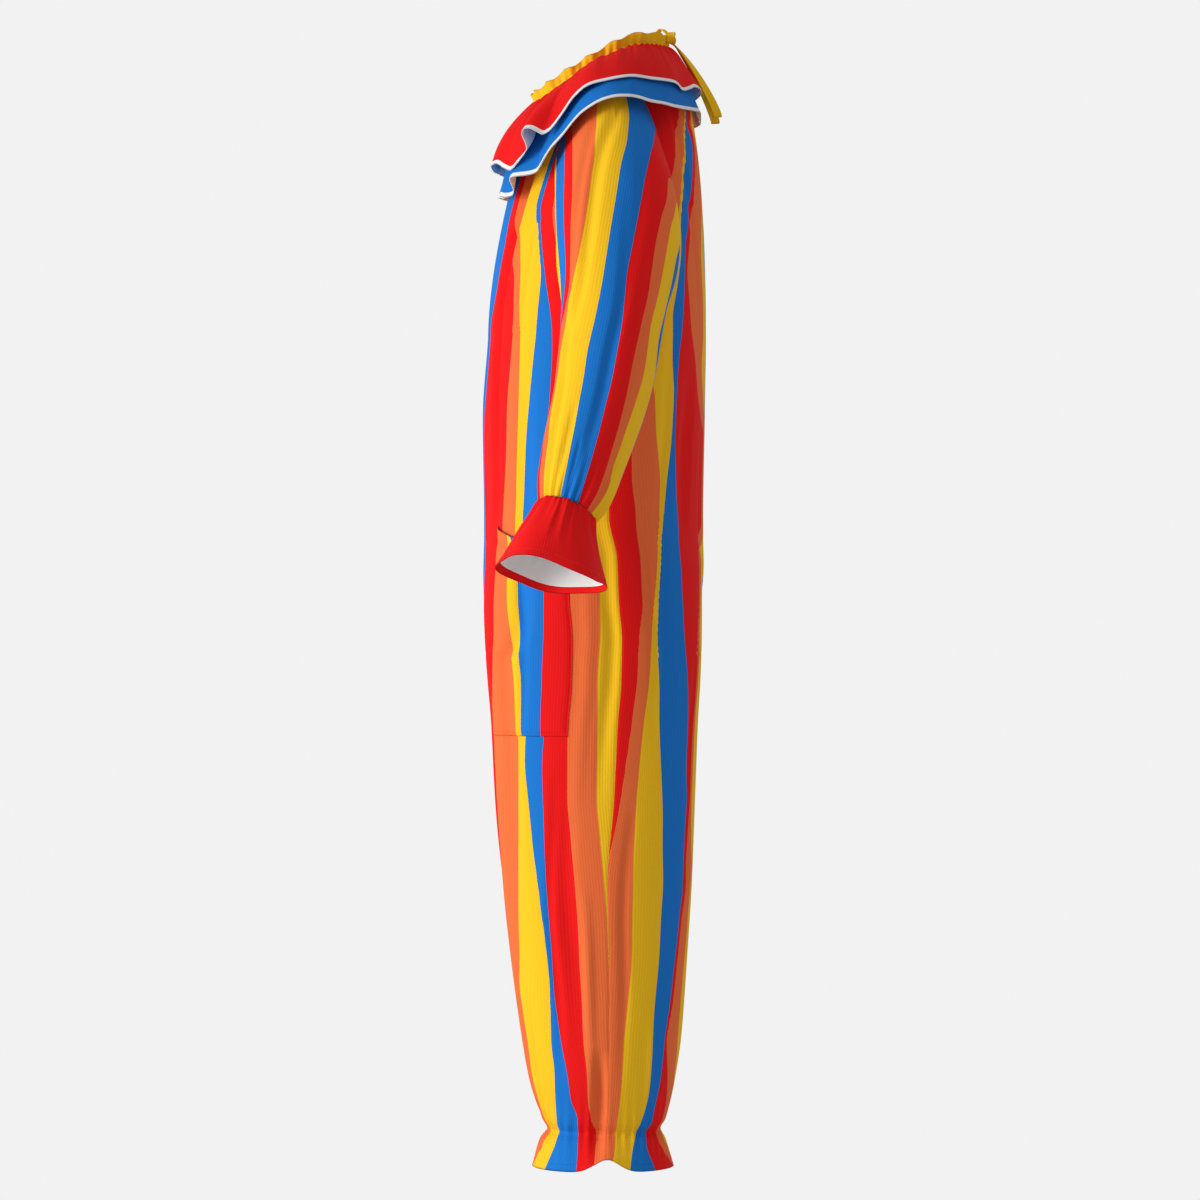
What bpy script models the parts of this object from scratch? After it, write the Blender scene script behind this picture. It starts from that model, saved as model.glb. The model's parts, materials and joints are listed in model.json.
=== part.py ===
"""Clown costume in its worn, hollow form: striped body and sleeves, two ruffled
collar tiers on a gathered neck casing with a tie, flared cuffs and front pockets.

Metres, +Z up, the front faces -Y and the wearer's left is +X. The origin is the
middle of the neck opening. Each cut piece is an open surface worked out from
sections, and a Solidify modifier gives it the thickness of its cloth.
"""

import math
from collections import namedtuple

import bpy
import numpy as np
from mathutils import Vector
from mathutils.bvhtree import BVHTree

CLOTH = 0.002
RUFFLE_CLOTH = 0.0015
SEAM_GAP = 0.0003
ARMHOLE_GAP = 0.0012
TIP_GAP = 0.0014
TIP_REACH = 0.9
SHOULDER_GAP = 0.0012

CHEST = -0.343
MERGE_TOP = -0.60
CROTCH = -0.74
ANKLE = -1.3337
HEM = -1.374
HEM_NOTCH = 0.011
HEM_NOTCH_WIDTH = 0.022
GATHER_DEPTH = 0.0022
GATHER_REACH = 0.030
ANKLE_GATHERS = 3

NECK_HALF_WIDTH = 0.080
NECK_HALF_DEPTH = 0.0855
NECK_MIDDLE = -0.0025
SHOULDER_TIP = (0.186, 0.012, -0.066)
SHOULDER_ANGLE = math.radians(96)

# The panels' rows by height and their columns by share, with one narrow column
# at each seam.
LEG_HEIGHTS = (
    -1.374, -1.360, -1.346, -1.3337, -1.321, -1.305, -1.285, -1.255, -1.20, -1.13,
    -1.05, -0.97, -0.89, -0.82, -0.775, -0.75, -0.738, -0.725, -0.705, -0.68,
    -0.65, -0.615, -0.57, -0.50, -0.42, -0.343,
)
YOKE_HEIGHTS = (0.0, 0.05, 0.12, 0.21, 0.32, 0.44, 0.56, 0.68, 0.79, 0.88, 0.94, 0.98, 1.0)
SEAM_SHARE = 0.018
SHARES = np.concatenate([[0], np.linspace(SEAM_SHARE, 1 - SEAM_SHARE, 9), [1]])

SLEEVE_ROWS = 12
CUFF_ROWS = 6
CUFF_COLUMNS = 36
WRIST_GATHERS = 9
WRIST_DEPTH = 0.0018
RIM_WAVES = 5
RIM_WAVE = 0.0030
RIM_TURN = math.radians(200)

COLLAR_ROWS = 6
COLLAR_COLUMNS = 61
COLLAR_SPLIT = math.radians(2.2)
COLLAR_ANGLES = np.linspace(-1, 1, COLLAR_COLUMNS) * (math.pi - COLLAR_SPLIT)
TIER_START = 0.0017
LOWER_LIFT = 0.0038
UPPER_LIFT = 0.0076
TIER_CLEARANCE = 0.0028
TOO_FAR = 0.03

CASING_START = 0.0017
CASING_HEIGHT = 0.016
CASING_FLARE = 0.003
CASING_RIPPLE = 0.0016
CASING_TIED = math.radians(30)
NECK_GATHERS = 15

POCKET_INNER = 0.190
POCKET_OUTER = 0.061
POCKET_TOP_INNER = -0.581
POCKET_TOP_OUTER = -0.618
POCKET_FOOT = -0.840
POCKET_MOUTH = 0.010
POCKET_LIFT = 0.0012
POCKET_COLUMNS = 8

TAPE_WIDTH = 0.010
TAPE = 0.0015
KNOT = Vector((0.0, 0.0873, 0.0374))
KNOT_SIZE = (0.011, 0.009, 0.011)
KNOT_DRAW = 0.55
DRAWN_SHARE = 0.18
TAIL_BULGE = np.array([0.0, 0.0045, 0.0035])
TAIL_END_LEFT = Vector((0.013, 0.1440, -0.0610))
TAIL_END_RIGHT = Vector((-0.019, 0.1420, -0.0660))

# The cloths by name: colour and roughness.
CLOTHS = {
    "striped_cloth": ((0.95, 0.16, 0.05, 1.0), 0.85),
    "red_cloth": ((0.82, 0.02, 0.02, 1.0), 0.85),
    "blue_cloth": ((0.03, 0.21, 0.68, 1.0), 0.85),
    "yellow_cloth": ((0.94, 0.60, 0.02, 1.0), 0.80),
}

# How high the neck seam runs, by its angle from the centre front.
Neckline = namedtuple("Neckline", "angle height")
NECKLINE = (
    Neckline(0, -0.0500),
    Neckline(30, -0.0446),
    Neckline(60, -0.0261),
    Neckline(75, -0.0139),
    Neckline(90, -0.0009),
    Neckline(105, 0.0118),
    Neckline(118, 0.0190),
    Neckline(135, 0.0215),
    Neckline(180, 0.0215),
)

# Level sections of the body and leg, from the chest down: the front, back and
# outer reach, the side seam's place, half the gap between the legs, and how
# square the section is (2 is an ellipse).
Section = namedtuple("Section", "height front back side side_seam gap square")
BODY = (
    Section(-0.343, -0.1470, 0.1295, 0.205, 0.012, 0.000, 2.3),
    Section(-0.444, -0.1537, 0.1280, 0.213, 0.008, 0.000, 2.3),
    Section(-0.571, -0.1520, 0.1260, 0.222, 0.006, 0.000, 2.2),
    Section(-0.622, -0.1520, 0.1260, 0.226, 0.016, 0.000, 2.2),
    Section(-0.673, -0.1510, 0.1230, 0.228, 0.018, 0.000, 2.2),
    Section(-0.724, -0.1486, 0.1220, 0.229, 0.022, 0.000, 2.2),
    Section(-0.775, -0.1450, 0.1200, 0.228, 0.021, 0.001, 2.2),
    Section(-0.823, -0.1409, 0.1172, 0.225, 0.017, 0.003, 2.2),
    Section(-0.922, -0.1359, 0.1134, 0.219, 0.012, 0.006, 2.2),
    Section(-1.022, -0.1272, 0.1097, 0.211, 0.004, 0.009, 2.1),
    Section(-1.122, -0.1160, 0.1035, 0.201, 0.006, 0.012, 2.1),
    Section(-1.222, -0.1022, 0.0960, 0.189, 0.006, 0.015, 2.0),
    Section(-1.271, -0.0935, 0.0885, 0.180, 0.005, 0.017, 2.0),
    Section(-1.296, -0.0860, 0.0835, 0.172, 0.005, 0.019, 2.0),
    Section(-1.321, -0.0761, 0.0760, 0.163, 0.004, 0.022, 2.0),
    Section(-1.3337, -0.0698, 0.0698, 0.157, 0.003, 0.025, 2.0),
    Section(-1.346, -0.0790, 0.0760, 0.163, 0.003, 0.019, 2.0),
    Section(-1.374, -0.0898, 0.0873, 0.173, 0.003, 0.010, 2.0),
)

# How a yoke column leaves the chest and meets the neckline or the shoulder seam:
# its place from the centre (0) to the side (1), the rise at the chest, and the
# run back and up at the top.
Column = namedtuple("Column", "place rise run lift")
FRONT_YOKE = (
    Column(0.00, 0.30, 0.040, 0.10),
    Column(0.30, 0.34, 0.080, 0.09),
    Column(0.45, 0.34, 0.110, 0.06),
    Column(0.60, 0.33, 0.140, 0.02),
    Column(0.75, 0.33, 0.150, 0.00),
    Column(1.00, 0.28, 0.150, 0.00),
)
BACK_YOKE = (
    Column(0.00, 0.65, -0.085, 0.09),
    Column(0.30, 0.57, -0.110, 0.07),
    Column(0.45, 0.42, -0.150, 0.02),
    Column(0.60, 0.35, -0.165, 0.00),
    Column(0.75, 0.34, -0.170, 0.00),
    Column(1.00, 0.28, -0.150, 0.00),
)

# How far each armhole is cut in from the side, against its height.
Armhole = namedtuple("Armhole", "height front back")
ARMHOLE = (
    Armhole(0.00, 0.00, 0.00),
    Armhole(0.03, 0.10, 0.10),
    Armhole(0.10, 0.18, 0.21),
    Armhole(0.25, 0.24, 0.29),
    Armhole(0.45, 0.28, 0.34),
    Armhole(0.65, 0.28, 0.36),
    Armhole(0.82, 0.22, 0.32),
    Armhole(0.94, 0.11, 0.17),
    Armhole(1.00, 0.00, 0.00),
)

# Rings of the left sleeve and cuff: centre, half the reach across the arm and
# along its front-to-back line, and the tilts outwards and forwards in degrees.
Ring = namedtuple("Ring", "x y z across depth out forward")
SLEEVE = (
    Ring(0.2290, 0.0165, -0.233, 0.1100, 0.0765, 80, 0),
    Ring(0.2690, 0.011, -0.322, 0.0660, 0.0640, 32, 2),
    Ring(0.3180, -0.001, -0.415, 0.0565, 0.0585, 28, 7),
    Ring(0.3640, -0.025, -0.505, 0.0490, 0.0510, 27, 13),
    Ring(0.3860, -0.037, -0.548, 0.0420, 0.0440, 27, 17),
    Ring(0.3945, -0.0445, -0.5685, 0.0340, 0.0355, 27, 20),
)
CUFF = (
    Ring(0.3945, -0.0445, -0.5685, 0.0340, 0.0355, 27, 20),
    Ring(0.4010, -0.0485, -0.5850, 0.0390, 0.0410, 25, 18),
    Ring(0.4120, -0.0550, -0.6120, 0.0500, 0.0530, 22, 14),
    Ring(0.4250, -0.0620, -0.6434, 0.0610, 0.0665, 19, 10),
)

# The hem line of each collar tier on the left, by its angle from the centre
# front, without the flutes, and how far the tier arches up on its way there.
Hem = namedtuple("Hem", "angle x y z arch")
UPPER_HEM = (
    Hem(0, 0.000, -0.134, -0.132, 0.010),
    Hem(20, 0.062, -0.128, -0.131, 0.011),
    Hem(38, 0.108, -0.112, -0.125, 0.012),
    Hem(50, 0.133, -0.094, -0.111, 0.013),
    Hem(62, 0.153, -0.074, -0.094, 0.014),
    Hem(72, 0.165, -0.054, -0.076, 0.014),
    Hem(82, 0.173, -0.030, -0.048, 0.014),
    Hem(93, 0.177, -0.003, -0.036, 0.013),
    Hem(107, 0.170, 0.030, -0.031, 0.012),
    Hem(122, 0.152, 0.060, -0.032, 0.009),
    Hem(143, 0.108, 0.092, -0.033, 0.006),
    Hem(160, 0.058, 0.116, -0.033, 0.003),
    Hem(180, 0.000, 0.1235, -0.031, 0.002),
)
LOWER_HEM = (
    Hem(0, 0.000, -0.126, -0.163, 0.006),
    Hem(20, 0.062, -0.122, -0.162, 0.007),
    Hem(38, 0.110, -0.108, -0.153, 0.008),
    Hem(50, 0.137, -0.093, -0.146, 0.009),
    Hem(62, 0.162, -0.077, -0.132, 0.010),
    Hem(72, 0.179, -0.059, -0.112, 0.010),
    Hem(82, 0.193, -0.036, -0.084, 0.010),
    Hem(93, 0.200, -0.005, -0.063, 0.009),
    Hem(107, 0.198, 0.030, -0.056, 0.008),
    Hem(122, 0.180, 0.060, -0.058, 0.006),
    Hem(143, 0.128, 0.094, -0.062, 0.003),
    Hem(160, 0.070, 0.115, -0.067, 0.002),
    Hem(180, 0.000, 0.1235, -0.069, 0.002),
)

# The flutes of the ruffles: each one's middle and half its width in degrees from
# the centre front, how far it stands up at the upper and the lower hem, and how
# far it leans along the hem. A minus angle is on the wearer's right.
Flute = namedtuple("Flute", "angle spread upper lower lean")
FLUTES = (
    Flute(17, 14, 0.017, 0.012, -0.002),
    Flute(47, 13, 0.026, 0.017, -0.008),
    Flute(76, 13, 0.007, 0.004, 0.000),
    Flute(106, 15, 0.008, 0.004, 0.002),
    Flute(133, 11, 0.010, 0.006, 0.002),
    Flute(157, 14, 0.007, 0.007, 0.004),
    Flute(-15, 13, 0.015, 0.013, 0.002),
    Flute(-44, 14, 0.022, 0.015, 0.007),
    Flute(-72, 12, 0.011, 0.006, 0.002),
    Flute(-101, 14, 0.007, 0.005, 0.000),
    Flute(-131, 13, 0.011, 0.007, -0.003),
    Flute(-156, 14, 0.007, 0.007, -0.004),
)

# Long soft folds pressed into a panel: where they run from and to, as a share of
# the way from the centre line to the side seam, and their depth and half width.
Fold = namedtuple("Fold", "top bottom top_place bottom_place depth half_width")
FRONT_FOLDS = (
    Fold(-0.36, -1.16, 0.62, 0.66, 0.0060, 0.024),
    Fold(-0.86, -1.24, 0.84, 0.88, 0.0040, 0.020),
)
BACK_FOLDS = (
    Fold(-0.38, -0.60, 0.50, 0.56, 0.0060, 0.026),
    Fold(-0.80, -1.26, 0.40, 0.44, 0.0040, 0.024),
)


def smooth(at, places, values):
    """Values between the rows of a table: a cubic that never overshoots them."""
    places, values = np.asarray(places, float), np.asarray(values, float)
    if places[0] > places[-1]:
        places, values = places[::-1], values[::-1]
    step = np.diff(places)
    slope = np.diff(values) / step
    same_way = slope[:-1] * slope[1:] > 0
    mean = 2 * slope[:-1] * slope[1:] / np.where(same_way, slope[:-1] + slope[1:], 1)
    tangent = np.concatenate([slope[:1], np.where(same_way, mean, 0), slope[-1:]])
    at = np.asarray(at, float)
    i = np.clip(np.searchsorted(places, at) - 1, 0, len(step) - 1)
    t = np.clip((at - places[i]) / step[i], 0, 1)
    return (
        (1 + 2 * t) * (1 - t) ** 2 * values[i]
        + t * (1 - t) ** 2 * step[i] * tangent[i]
        + t * t * (3 - 2 * t) * values[i + 1]
        + t * t * (t - 1) * step[i] * tangent[i + 1]
    )


def column(table, name, at):
    """One named column of a table, read at these values of its first column."""
    return smooth(at, [row[0] for row in table], [getattr(row, name) for row in table])


def bump(distance):
    """A soft rise: 1 at distance 0 and 0 from distance 1 on."""
    return np.cos(np.clip(np.abs(distance), 0, 1) * math.pi / 2) ** 2


def power(value, exponent):
    return np.sign(value) * np.abs(value) ** exponent


def outline(height, samples=241):
    """The left half of a level section, from the centre front round to the centre
    back, and the number of the sample that lies at the side seam."""
    front, back, side, seam, gap, square = (
        float(column(BODY, name, height))
        for name in ("front", "back", "side", "side_seam", "gap", "square")
    )
    merged = float(np.clip((MERGE_TOP - height) / (MERGE_TOP - CROTCH), 0, 1))
    half = (side - gap) / (1 + merged)
    middle, depth = (front + back) / 2, (back - front) / 2
    end = math.acos(-(merged ** (square / 2)))
    angle = np.linspace(-end, end, samples)
    x = side - half + half * power(np.cos(angle), 2 / square)
    y = middle + depth * power(np.sin(angle), 2 / square)
    points = np.stack([np.maximum(x, SEAM_GAP / 2), y], 1)
    return points, int(np.abs(np.where(np.cos(angle) > 0, y - seam, 1)).argmin())


def at_shares(points, shares):
    """Points at these shares of a polyline's length, short of its seams."""
    steps = np.linalg.norm(np.diff(points, axis=0), axis=1)
    length = np.concatenate([[0], np.cumsum(steps)])
    places = np.clip(shares * length[-1], SEAM_GAP / 2, length[-1] - SEAM_GAP / 2)
    return np.stack([np.interp(places, length, axis) for axis in points.T], 1)


def half_section(height, face, shares):
    """A panel's level row, from the centre line to the side seam."""
    points, seam = outline(height)
    run = points[: seam + 1] if face == "front" else points[seam:][::-1]
    row = at_shares(run, shares)
    return np.column_stack([row, np.full(len(row), height)])


def pushed_out(row, distance):
    """A level row moved square to itself, away from the body, by these distances."""
    run = np.gradient(row[:, :2], axis=0)
    out = np.column_stack([run[:, 1], -run[:, 0]])
    out /= np.linalg.norm(out, axis=1)[:, None]
    out *= np.sign(out[-1, 0])
    moved = row.copy()
    moved[:, :2] += out * np.asarray(distance)[:, None]
    return moved


def fold_depth(height, shares, width, folds):
    """How far the long folds push a row in at this height."""
    depth = np.zeros(len(shares))
    for fold in folds:
        t = np.clip((fold.top - height) / (fold.top - fold.bottom), 0, 1)
        place = fold.top_place + (fold.bottom_place - fold.top_place) * t
        across = bump((shares - place) * width / fold.half_width)
        depth -= fold.depth * math.sin(math.pi * t) * across
    return depth


def gather_depth(height, shares):
    """The small gathers that the elastic draws in round the ankle."""
    ends = bump(2 * shares - 1) ** 0.3
    near = math.exp(-(((height - ANKLE) / GATHER_REACH) ** 2))
    return GATHER_DEPTH * near * ends * np.sin(2 * math.pi * ANKLE_GATHERS * shares)


def panel_width(height, face):
    """How far it is along a level row from the centre line to the side seam."""
    row = half_section(height, face, np.linspace(0, 1, 60))
    return np.linalg.norm(np.diff(row[:, :2], axis=0), axis=1).sum()


def leg_row(height, face, shares, width):
    """One row of a panel, with its long folds and the gathers at the ankle."""
    folds = FRONT_FOLDS if face == "front" else BACK_FOLDS
    depth = fold_depth(height, shares, width, folds) + gather_depth(height, shares)
    return pushed_out(half_section(height, face, shares), depth)


def leg_rows(face):
    """The rows of a panel from the hem up to the chest."""
    rows = []
    for height in LEG_HEIGHTS:
        width = panel_width(height, face)
        row = leg_row(height, face, SHARES, width)
        if height == HEM:
            away = (1 - SHARES) * width
            row[:, 2] += HEM_NOTCH * np.exp(-((away / HEM_NOTCH_WIDTH) ** 2))
        rows.append(row)
    return rows


def neck(angle):
    """The neck seam: an ellipse from above, which climbs towards the back."""
    angle = np.asarray(angle, float)
    round_front = np.abs(np.degrees(angle))
    across = np.minimum(round_front, 360 - round_front)
    return np.stack(
        [
            NECK_HALF_WIDTH * np.sin(angle),
            NECK_MIDDLE - NECK_HALF_DEPTH * np.cos(angle),
            column(NECKLINE, "height", across),
        ],
        -1,
    )


def top_edge(face):
    """The neckline from the centre line, then the shoulder seam to its tip."""
    first, side = (0.0, -1) if face == "front" else (math.pi, 1)
    neckline = neck(np.linspace(first, SHOULDER_ANGLE, 60))
    seam = np.linspace(neckline[-1], SHOULDER_TIP, 40)[1:]
    edge = np.concatenate([neckline, seam])
    edge[:, 1] += side * SHOULDER_GAP / 2
    return edge


def yoke_rows(face):
    """The rows over the chest and shoulder, out to the armhole. Each column is a
    cubic that leaves the chest upwards and comes level to the top edge."""
    table = FRONT_YOKE if face == "front" else BACK_YOKE
    cut = column(ARMHOLE, face, YOKE_HEIGHTS)
    rows = []
    for t, reach in zip(YOKE_HEIGHTS, 1 - cut):
        shares = SHARES * reach
        foot = half_section(CHEST, face, shares)
        top = at_shares(top_edge(face), shares)
        rise, run, lift = (
            column(table, name, shares)[:, None] for name in ("rise", "run", "lift")
        )
        rows.append(
            (1 + 2 * t) * (1 - t) ** 2 * foot
            + t * (1 - t) ** 2 * rise * (0, 0, 1)
            + t * t * (3 - 2 * t) * top
            + t * t * (t - 1) * (run * (0, 1, 0) + lift * (0, 0, 1))
        )
    return rows


def panel(face):
    """A left panel's grid, hem to neck, centre line to side seam and armhole."""
    return np.array(leg_rows(face)[:-1] + yoke_rows(face))


def armhole(front, back):
    """The left armhole, from the shoulder tip down its front and up its back."""
    first = len(LEG_HEIGHTS) - 1
    down, up = front[first:, -1][::-1], back[first:, -1]
    tip, foot = (down[:1] + up[-1:]) / 2, (down[-1:] + up[:1]) / 2
    return np.concatenate([tip, down[1:-1], foot, up[1:-1]]), len(down) - 1


def ring_points(ring, angles):
    """Points round an arm section, from its top round by the front."""
    out, forward = math.radians(ring.out), math.radians(ring.forward)
    axis = np.array(
        [
            math.sin(out) * math.cos(forward),
            -math.sin(forward),
            -math.cos(out) * math.cos(forward),
        ]
    )
    top = np.array([math.cos(out), 0, math.sin(out)])
    front = np.cross(axis, top)
    across = np.outer(ring.across * np.cos(angles), top)
    along = np.outer(ring.depth * np.sin(angles), front)
    return np.array([ring.x, ring.y, ring.z]) + across + along


def lofted(rings, rows):
    """A smooth tube through rings of equal count, with this many rings of its own."""
    rings = np.array(rings)
    gaps = np.linalg.norm(np.diff(rings.mean(axis=1), axis=0), axis=1)
    places = np.concatenate([[0], np.cumsum(gaps)])
    at = np.linspace(0, places[-1], rows)
    flat = rings.reshape(len(rings), -1)
    return np.stack([smooth(at, places, axis) for axis in flat.T], 1).reshape(rows, -1, 3)


def sleeve(front, back):
    """The left sleeve's tube, from the armhole to the wrist."""
    start, foot = armhole(front, back)
    steps = np.linalg.norm(np.diff(np.concatenate([start, start[:1]]), axis=0), axis=1)
    place = np.concatenate([[0], np.cumsum(steps)])
    half = place[foot]
    angles = np.where(
        place[:-1] <= half,
        math.pi * place[:-1] / half,
        math.pi * (1 + (place[:-1] - half) / (place[-1] - half)),
    )
    rings = [ring_points(ring, angles) for ring in SLEEVE]
    tube = lofted([start] + rings, SLEEVE_ROWS)
    away = tube[1] - tube[0]
    away /= np.linalg.norm(away, axis=1)[:, None]
    at_tip = bump(np.minimum(angles, 2 * math.pi - angles) / TIP_REACH)
    tube[0] += away * (ARMHOLE_GAP + TIP_GAP * at_tip)[:, None]
    return tube


def cuff():
    """The left cuff's tube, gathered at the wrist and waved at the rim."""
    angles = np.linspace(0, 2 * math.pi, CUFF_COLUMNS, endpoint=False)
    tube = lofted([ring_points(ring, angles) for ring in CUFF], CUFF_ROWS)
    middles = tube.mean(axis=1, keepdims=True)
    out = tube - middles
    out /= np.linalg.norm(out, axis=2, keepdims=True)
    down = np.linspace(0, 1, CUFF_ROWS)[:, None]
    gathers = WRIST_DEPTH * (1 - down) ** 2 * np.cos(WRIST_GATHERS * angles)
    waves = RIM_WAVE * down**2 * np.cos(RIM_WAVES * angles + RIM_TURN)
    tube += out * (gathers + waves)[:, :, None]
    axis = middles[1] - middles[0]
    return tube + SEAM_GAP * axis / np.linalg.norm(axis)


def level_way(angles):
    """The level way out from the neck seam, square to it."""
    ahead = (neck(angles + 0.01) - neck(angles - 0.01)) * (1, 1, 0)
    ahead /= np.linalg.norm(ahead, axis=1)[:, None]
    return np.cross(ahead, (0, 0, 1))


def tier(table, lift, flute_height):
    """A collar tier, from its seam on the casing out to its fluted hem."""
    angles = COLLAR_ANGLES
    across = np.abs(np.degrees(angles))
    hem = np.stack([column(table, name, across) for name in "xyz"], 1)
    hem[:, 0] *= np.sign(angles)
    arch = column(table, "arch", across)
    start = neck(angles) + level_way(angles) * TIER_START + (0, 0, lift)
    stand, lean = np.zeros(len(angles)), np.zeros(len(angles))
    for flute in FLUTES:
        rise = bump((np.degrees(angles) - flute.angle) / flute.spread)
        stand += getattr(flute, flute_height) * rise
        lean += flute.lean * rise
    away = hem - start
    along_hem = np.gradient(hem, axis=0)
    along_hem /= np.linalg.norm(along_hem, axis=1)[:, None]
    square = np.cross(away, along_hem)
    square /= np.linalg.norm(square, axis=1)[:, None]
    rows = []
    for r in np.linspace(0, 1, COLLAR_ROWS):
        swell = arch * 4 * r * (1 - r) + stand * r**1.5
        shift = square * swell[:, None] + along_hem * (lean * r**3)[:, None]
        rows.append(start + away * r + shift)
    return np.array(rows)


def casing():
    """The casing round the neck, which flares and ripples towards its top, but not
    at the back, where the tie draws it in."""
    seam, level = neck(COLLAR_ANGLES), level_way(COLLAR_ANGLES)
    at_back = bump((math.pi - np.abs(COLLAR_ANGLES)) / CASING_TIED)
    flare = CASING_FLARE + CASING_RIPPLE * np.sin(NECK_GATHERS * COLLAR_ANGLES)
    flare *= 1 - at_back
    rows = []
    for r in (0.0, 0.5, 0.75, 1.0):
        reach = flare * max(0, 2 * r - 1)
        rows.append(seam + level * reach[:, None] + (0, 0, CASING_START + CASING_HEIGHT * r))
    return np.array(rows)


def held_off(grid, under, gap):
    """A grid whose points are moved out until they clear these meshes by a gap."""
    points = grid.reshape(-1, 3).copy()
    for i, point in enumerate(points):
        for tree in under:
            place, normal, _, _ = tree.find_nearest(Vector(point))
            if place is None:
                continue
            clear = (Vector(points[i]) - place).dot(normal)
            if clear < gap and (Vector(points[i]) - place).length < TOO_FAR:
                points[i] += np.array(normal) * (gap - clear)
    return points.reshape(grid.shape)


def tree_of(grid, core, closed=False):
    points, faces = grid_faces(grid, core, closed)
    return BVHTree.FromPolygons([tuple(p) for p in points], faces)


def grid_faces(grid, core, closed):
    """The grid's points and its quads, turned to face away from the core."""
    rows, columns = grid.shape[:2]
    wrap = np.arange(columns if closed else columns - 1)
    after = (wrap + 1) % columns
    first = (np.arange(rows - 1) * columns)[:, None]
    quads = np.stack(
        [first + wrap, first + after, first + columns + after, first + columns + wrap], 2
    ).reshape(-1, 4)
    points = grid.reshape(-1, 3)
    corners = points[quads]
    normals = np.cross(corners[:, 2] - corners[:, 0], corners[:, 3] - corners[:, 1])
    middles = corners.mean(axis=1)
    core = np.asarray(core, float)
    centres = core if core.ndim == 1 else np.repeat(core, len(wrap), axis=0)
    centres = np.where(np.isnan(centres), middles, centres)
    if (normals * (middles - centres)).sum() < 0:
        quads = quads[:, [0, 3, 2, 1]]
    return points, quads.tolist()


def material(name):
    made = bpy.data.materials.get(name)
    if made is None:
        made = bpy.data.materials.new(name)
        made.use_nodes = True
        shader = made.node_tree.nodes["Principled BSDF"]
        shader.inputs["Base Color"].default_value, roughness = CLOTHS[name]
        shader.inputs["Roughness"].default_value = roughness
        shader.inputs["Metallic"].default_value = 0.0
    return made


def cloth(collection, name, grid, core, kind, thickness=CLOTH, closed=False, offset=-1):
    """A cut piece: the open surface of its grid, given its cloth's thickness."""
    points, quads = grid_faces(grid, core, closed)
    mesh = bpy.data.meshes.new(name)
    mesh.from_pydata([tuple(p) for p in points], [], quads)
    mesh.shade_smooth()
    made = bpy.data.objects.new(name, mesh)
    collection.objects.link(made)
    made.data.materials.append(material(kind))
    wall = made.modifiers.new("cloth", "SOLIDIFY")
    wall.thickness = thickness
    wall.offset = offset
    wall.use_rim = True


def mirrored(grid):
    return grid * (-1, 1, 1)


def pocket():
    """The left pocket's grid: the front panel's own rows, moved out, and most of
    all at the mouth, which slants and stands open."""
    across = np.linspace(0, 1, POCKET_COLUMNS)
    away = POCKET_INNER + (POCKET_OUTER - POCKET_INNER) * across
    mouth = POCKET_TOP_INNER + (POCKET_TOP_OUTER - POCKET_TOP_INNER) * across
    levels = [POCKET_FOOT]
    levels += [z for z in LEG_HEIGHTS if POCKET_FOOT < z < POCKET_TOP_OUTER]
    rows = []
    for height in levels + [None]:
        heights = mouth if height is None else np.full(POCKET_COLUMNS, height)
        row = []
        for level, k in zip(heights, range(POCKET_COLUMNS)):
            width = panel_width(level, "front")
            row.append(leg_row(level, "front", 1 - away / width, width)[k])
        down = (mouth - heights) / (mouth - POCKET_FOOT)
        stand = POCKET_MOUTH * (1 - down) ** 3 * np.sin(math.pi * across) ** 0.8
        rows.append(pushed_out(np.array(row), POCKET_LIFT + stand))
    return np.array(rows)


def strip(path, width_way, ends):
    """A tape along a path, drawn in to the knot at these ends of it."""
    path, width_way = np.asarray(path, float), np.asarray(width_way, float)
    run = np.gradient(path, axis=0)
    run /= np.linalg.norm(run, axis=1)[:, None]
    side = width_way - run * (width_way * run).sum(axis=1)[:, None]
    side /= np.linalg.norm(side, axis=1)[:, None]
    t = np.linspace(0, 1, len(path))
    away = np.abs(t[:, None] - np.array(ends)).min(axis=1)
    half_width = TAPE_WIDTH / 2 * (1 - KNOT_DRAW * bump(away / DRAWN_SHARE))
    side *= half_width[:, None]
    return np.stack([path - side, path, path + side], 1)


def tail_path(side, end):
    """A free end of the tie: out of the knot, down the collar's back and past it."""
    start = KNOT + Vector((side * 0.0028, 0.0010, -KNOT_SIZE[2] / 2 - SEAM_GAP - 0.0002))
    t = np.linspace(0, 1, 13)[:, None]
    path = np.array(start) * (1 - t) + np.array(end) * t
    path += TAIL_BULGE * np.sin(math.pi * t) ** 0.6
    turn = math.radians(80) * side * t[:, 0] ** 0.8
    run = np.array(end) - np.array(start)
    run /= np.linalg.norm(run)
    level = np.array([1.0, 0.0, 0.0])
    square = np.cross(run, level)
    return path, np.outer(np.cos(turn), level) + np.outer(np.sin(turn), square)


def loop_path(way, length, height):
    """A bow loop: a teardrop that leaves the knot and comes back to it."""
    t = np.linspace(0, 1, 17)
    way = np.array(way) / np.linalg.norm(way)
    rise = np.array([0.0, 0.0, 1.0]) - way * way[2]
    rise /= np.linalg.norm(rise)
    start = np.array(KNOT) + way * (KNOT_SIZE[0] / 2 + SEAM_GAP / 2)
    reach = length * np.sin(math.pi * t)
    swing = height * np.sin(2 * math.pi * t) * np.sin(math.pi * t) ** 0.5
    swing += 0.0022 * np.cos(math.pi * t)
    path = start + np.outer(reach, way) + np.outer(swing, rise)
    return path, np.tile(np.cross(way, rise), (len(t), 1))


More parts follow.
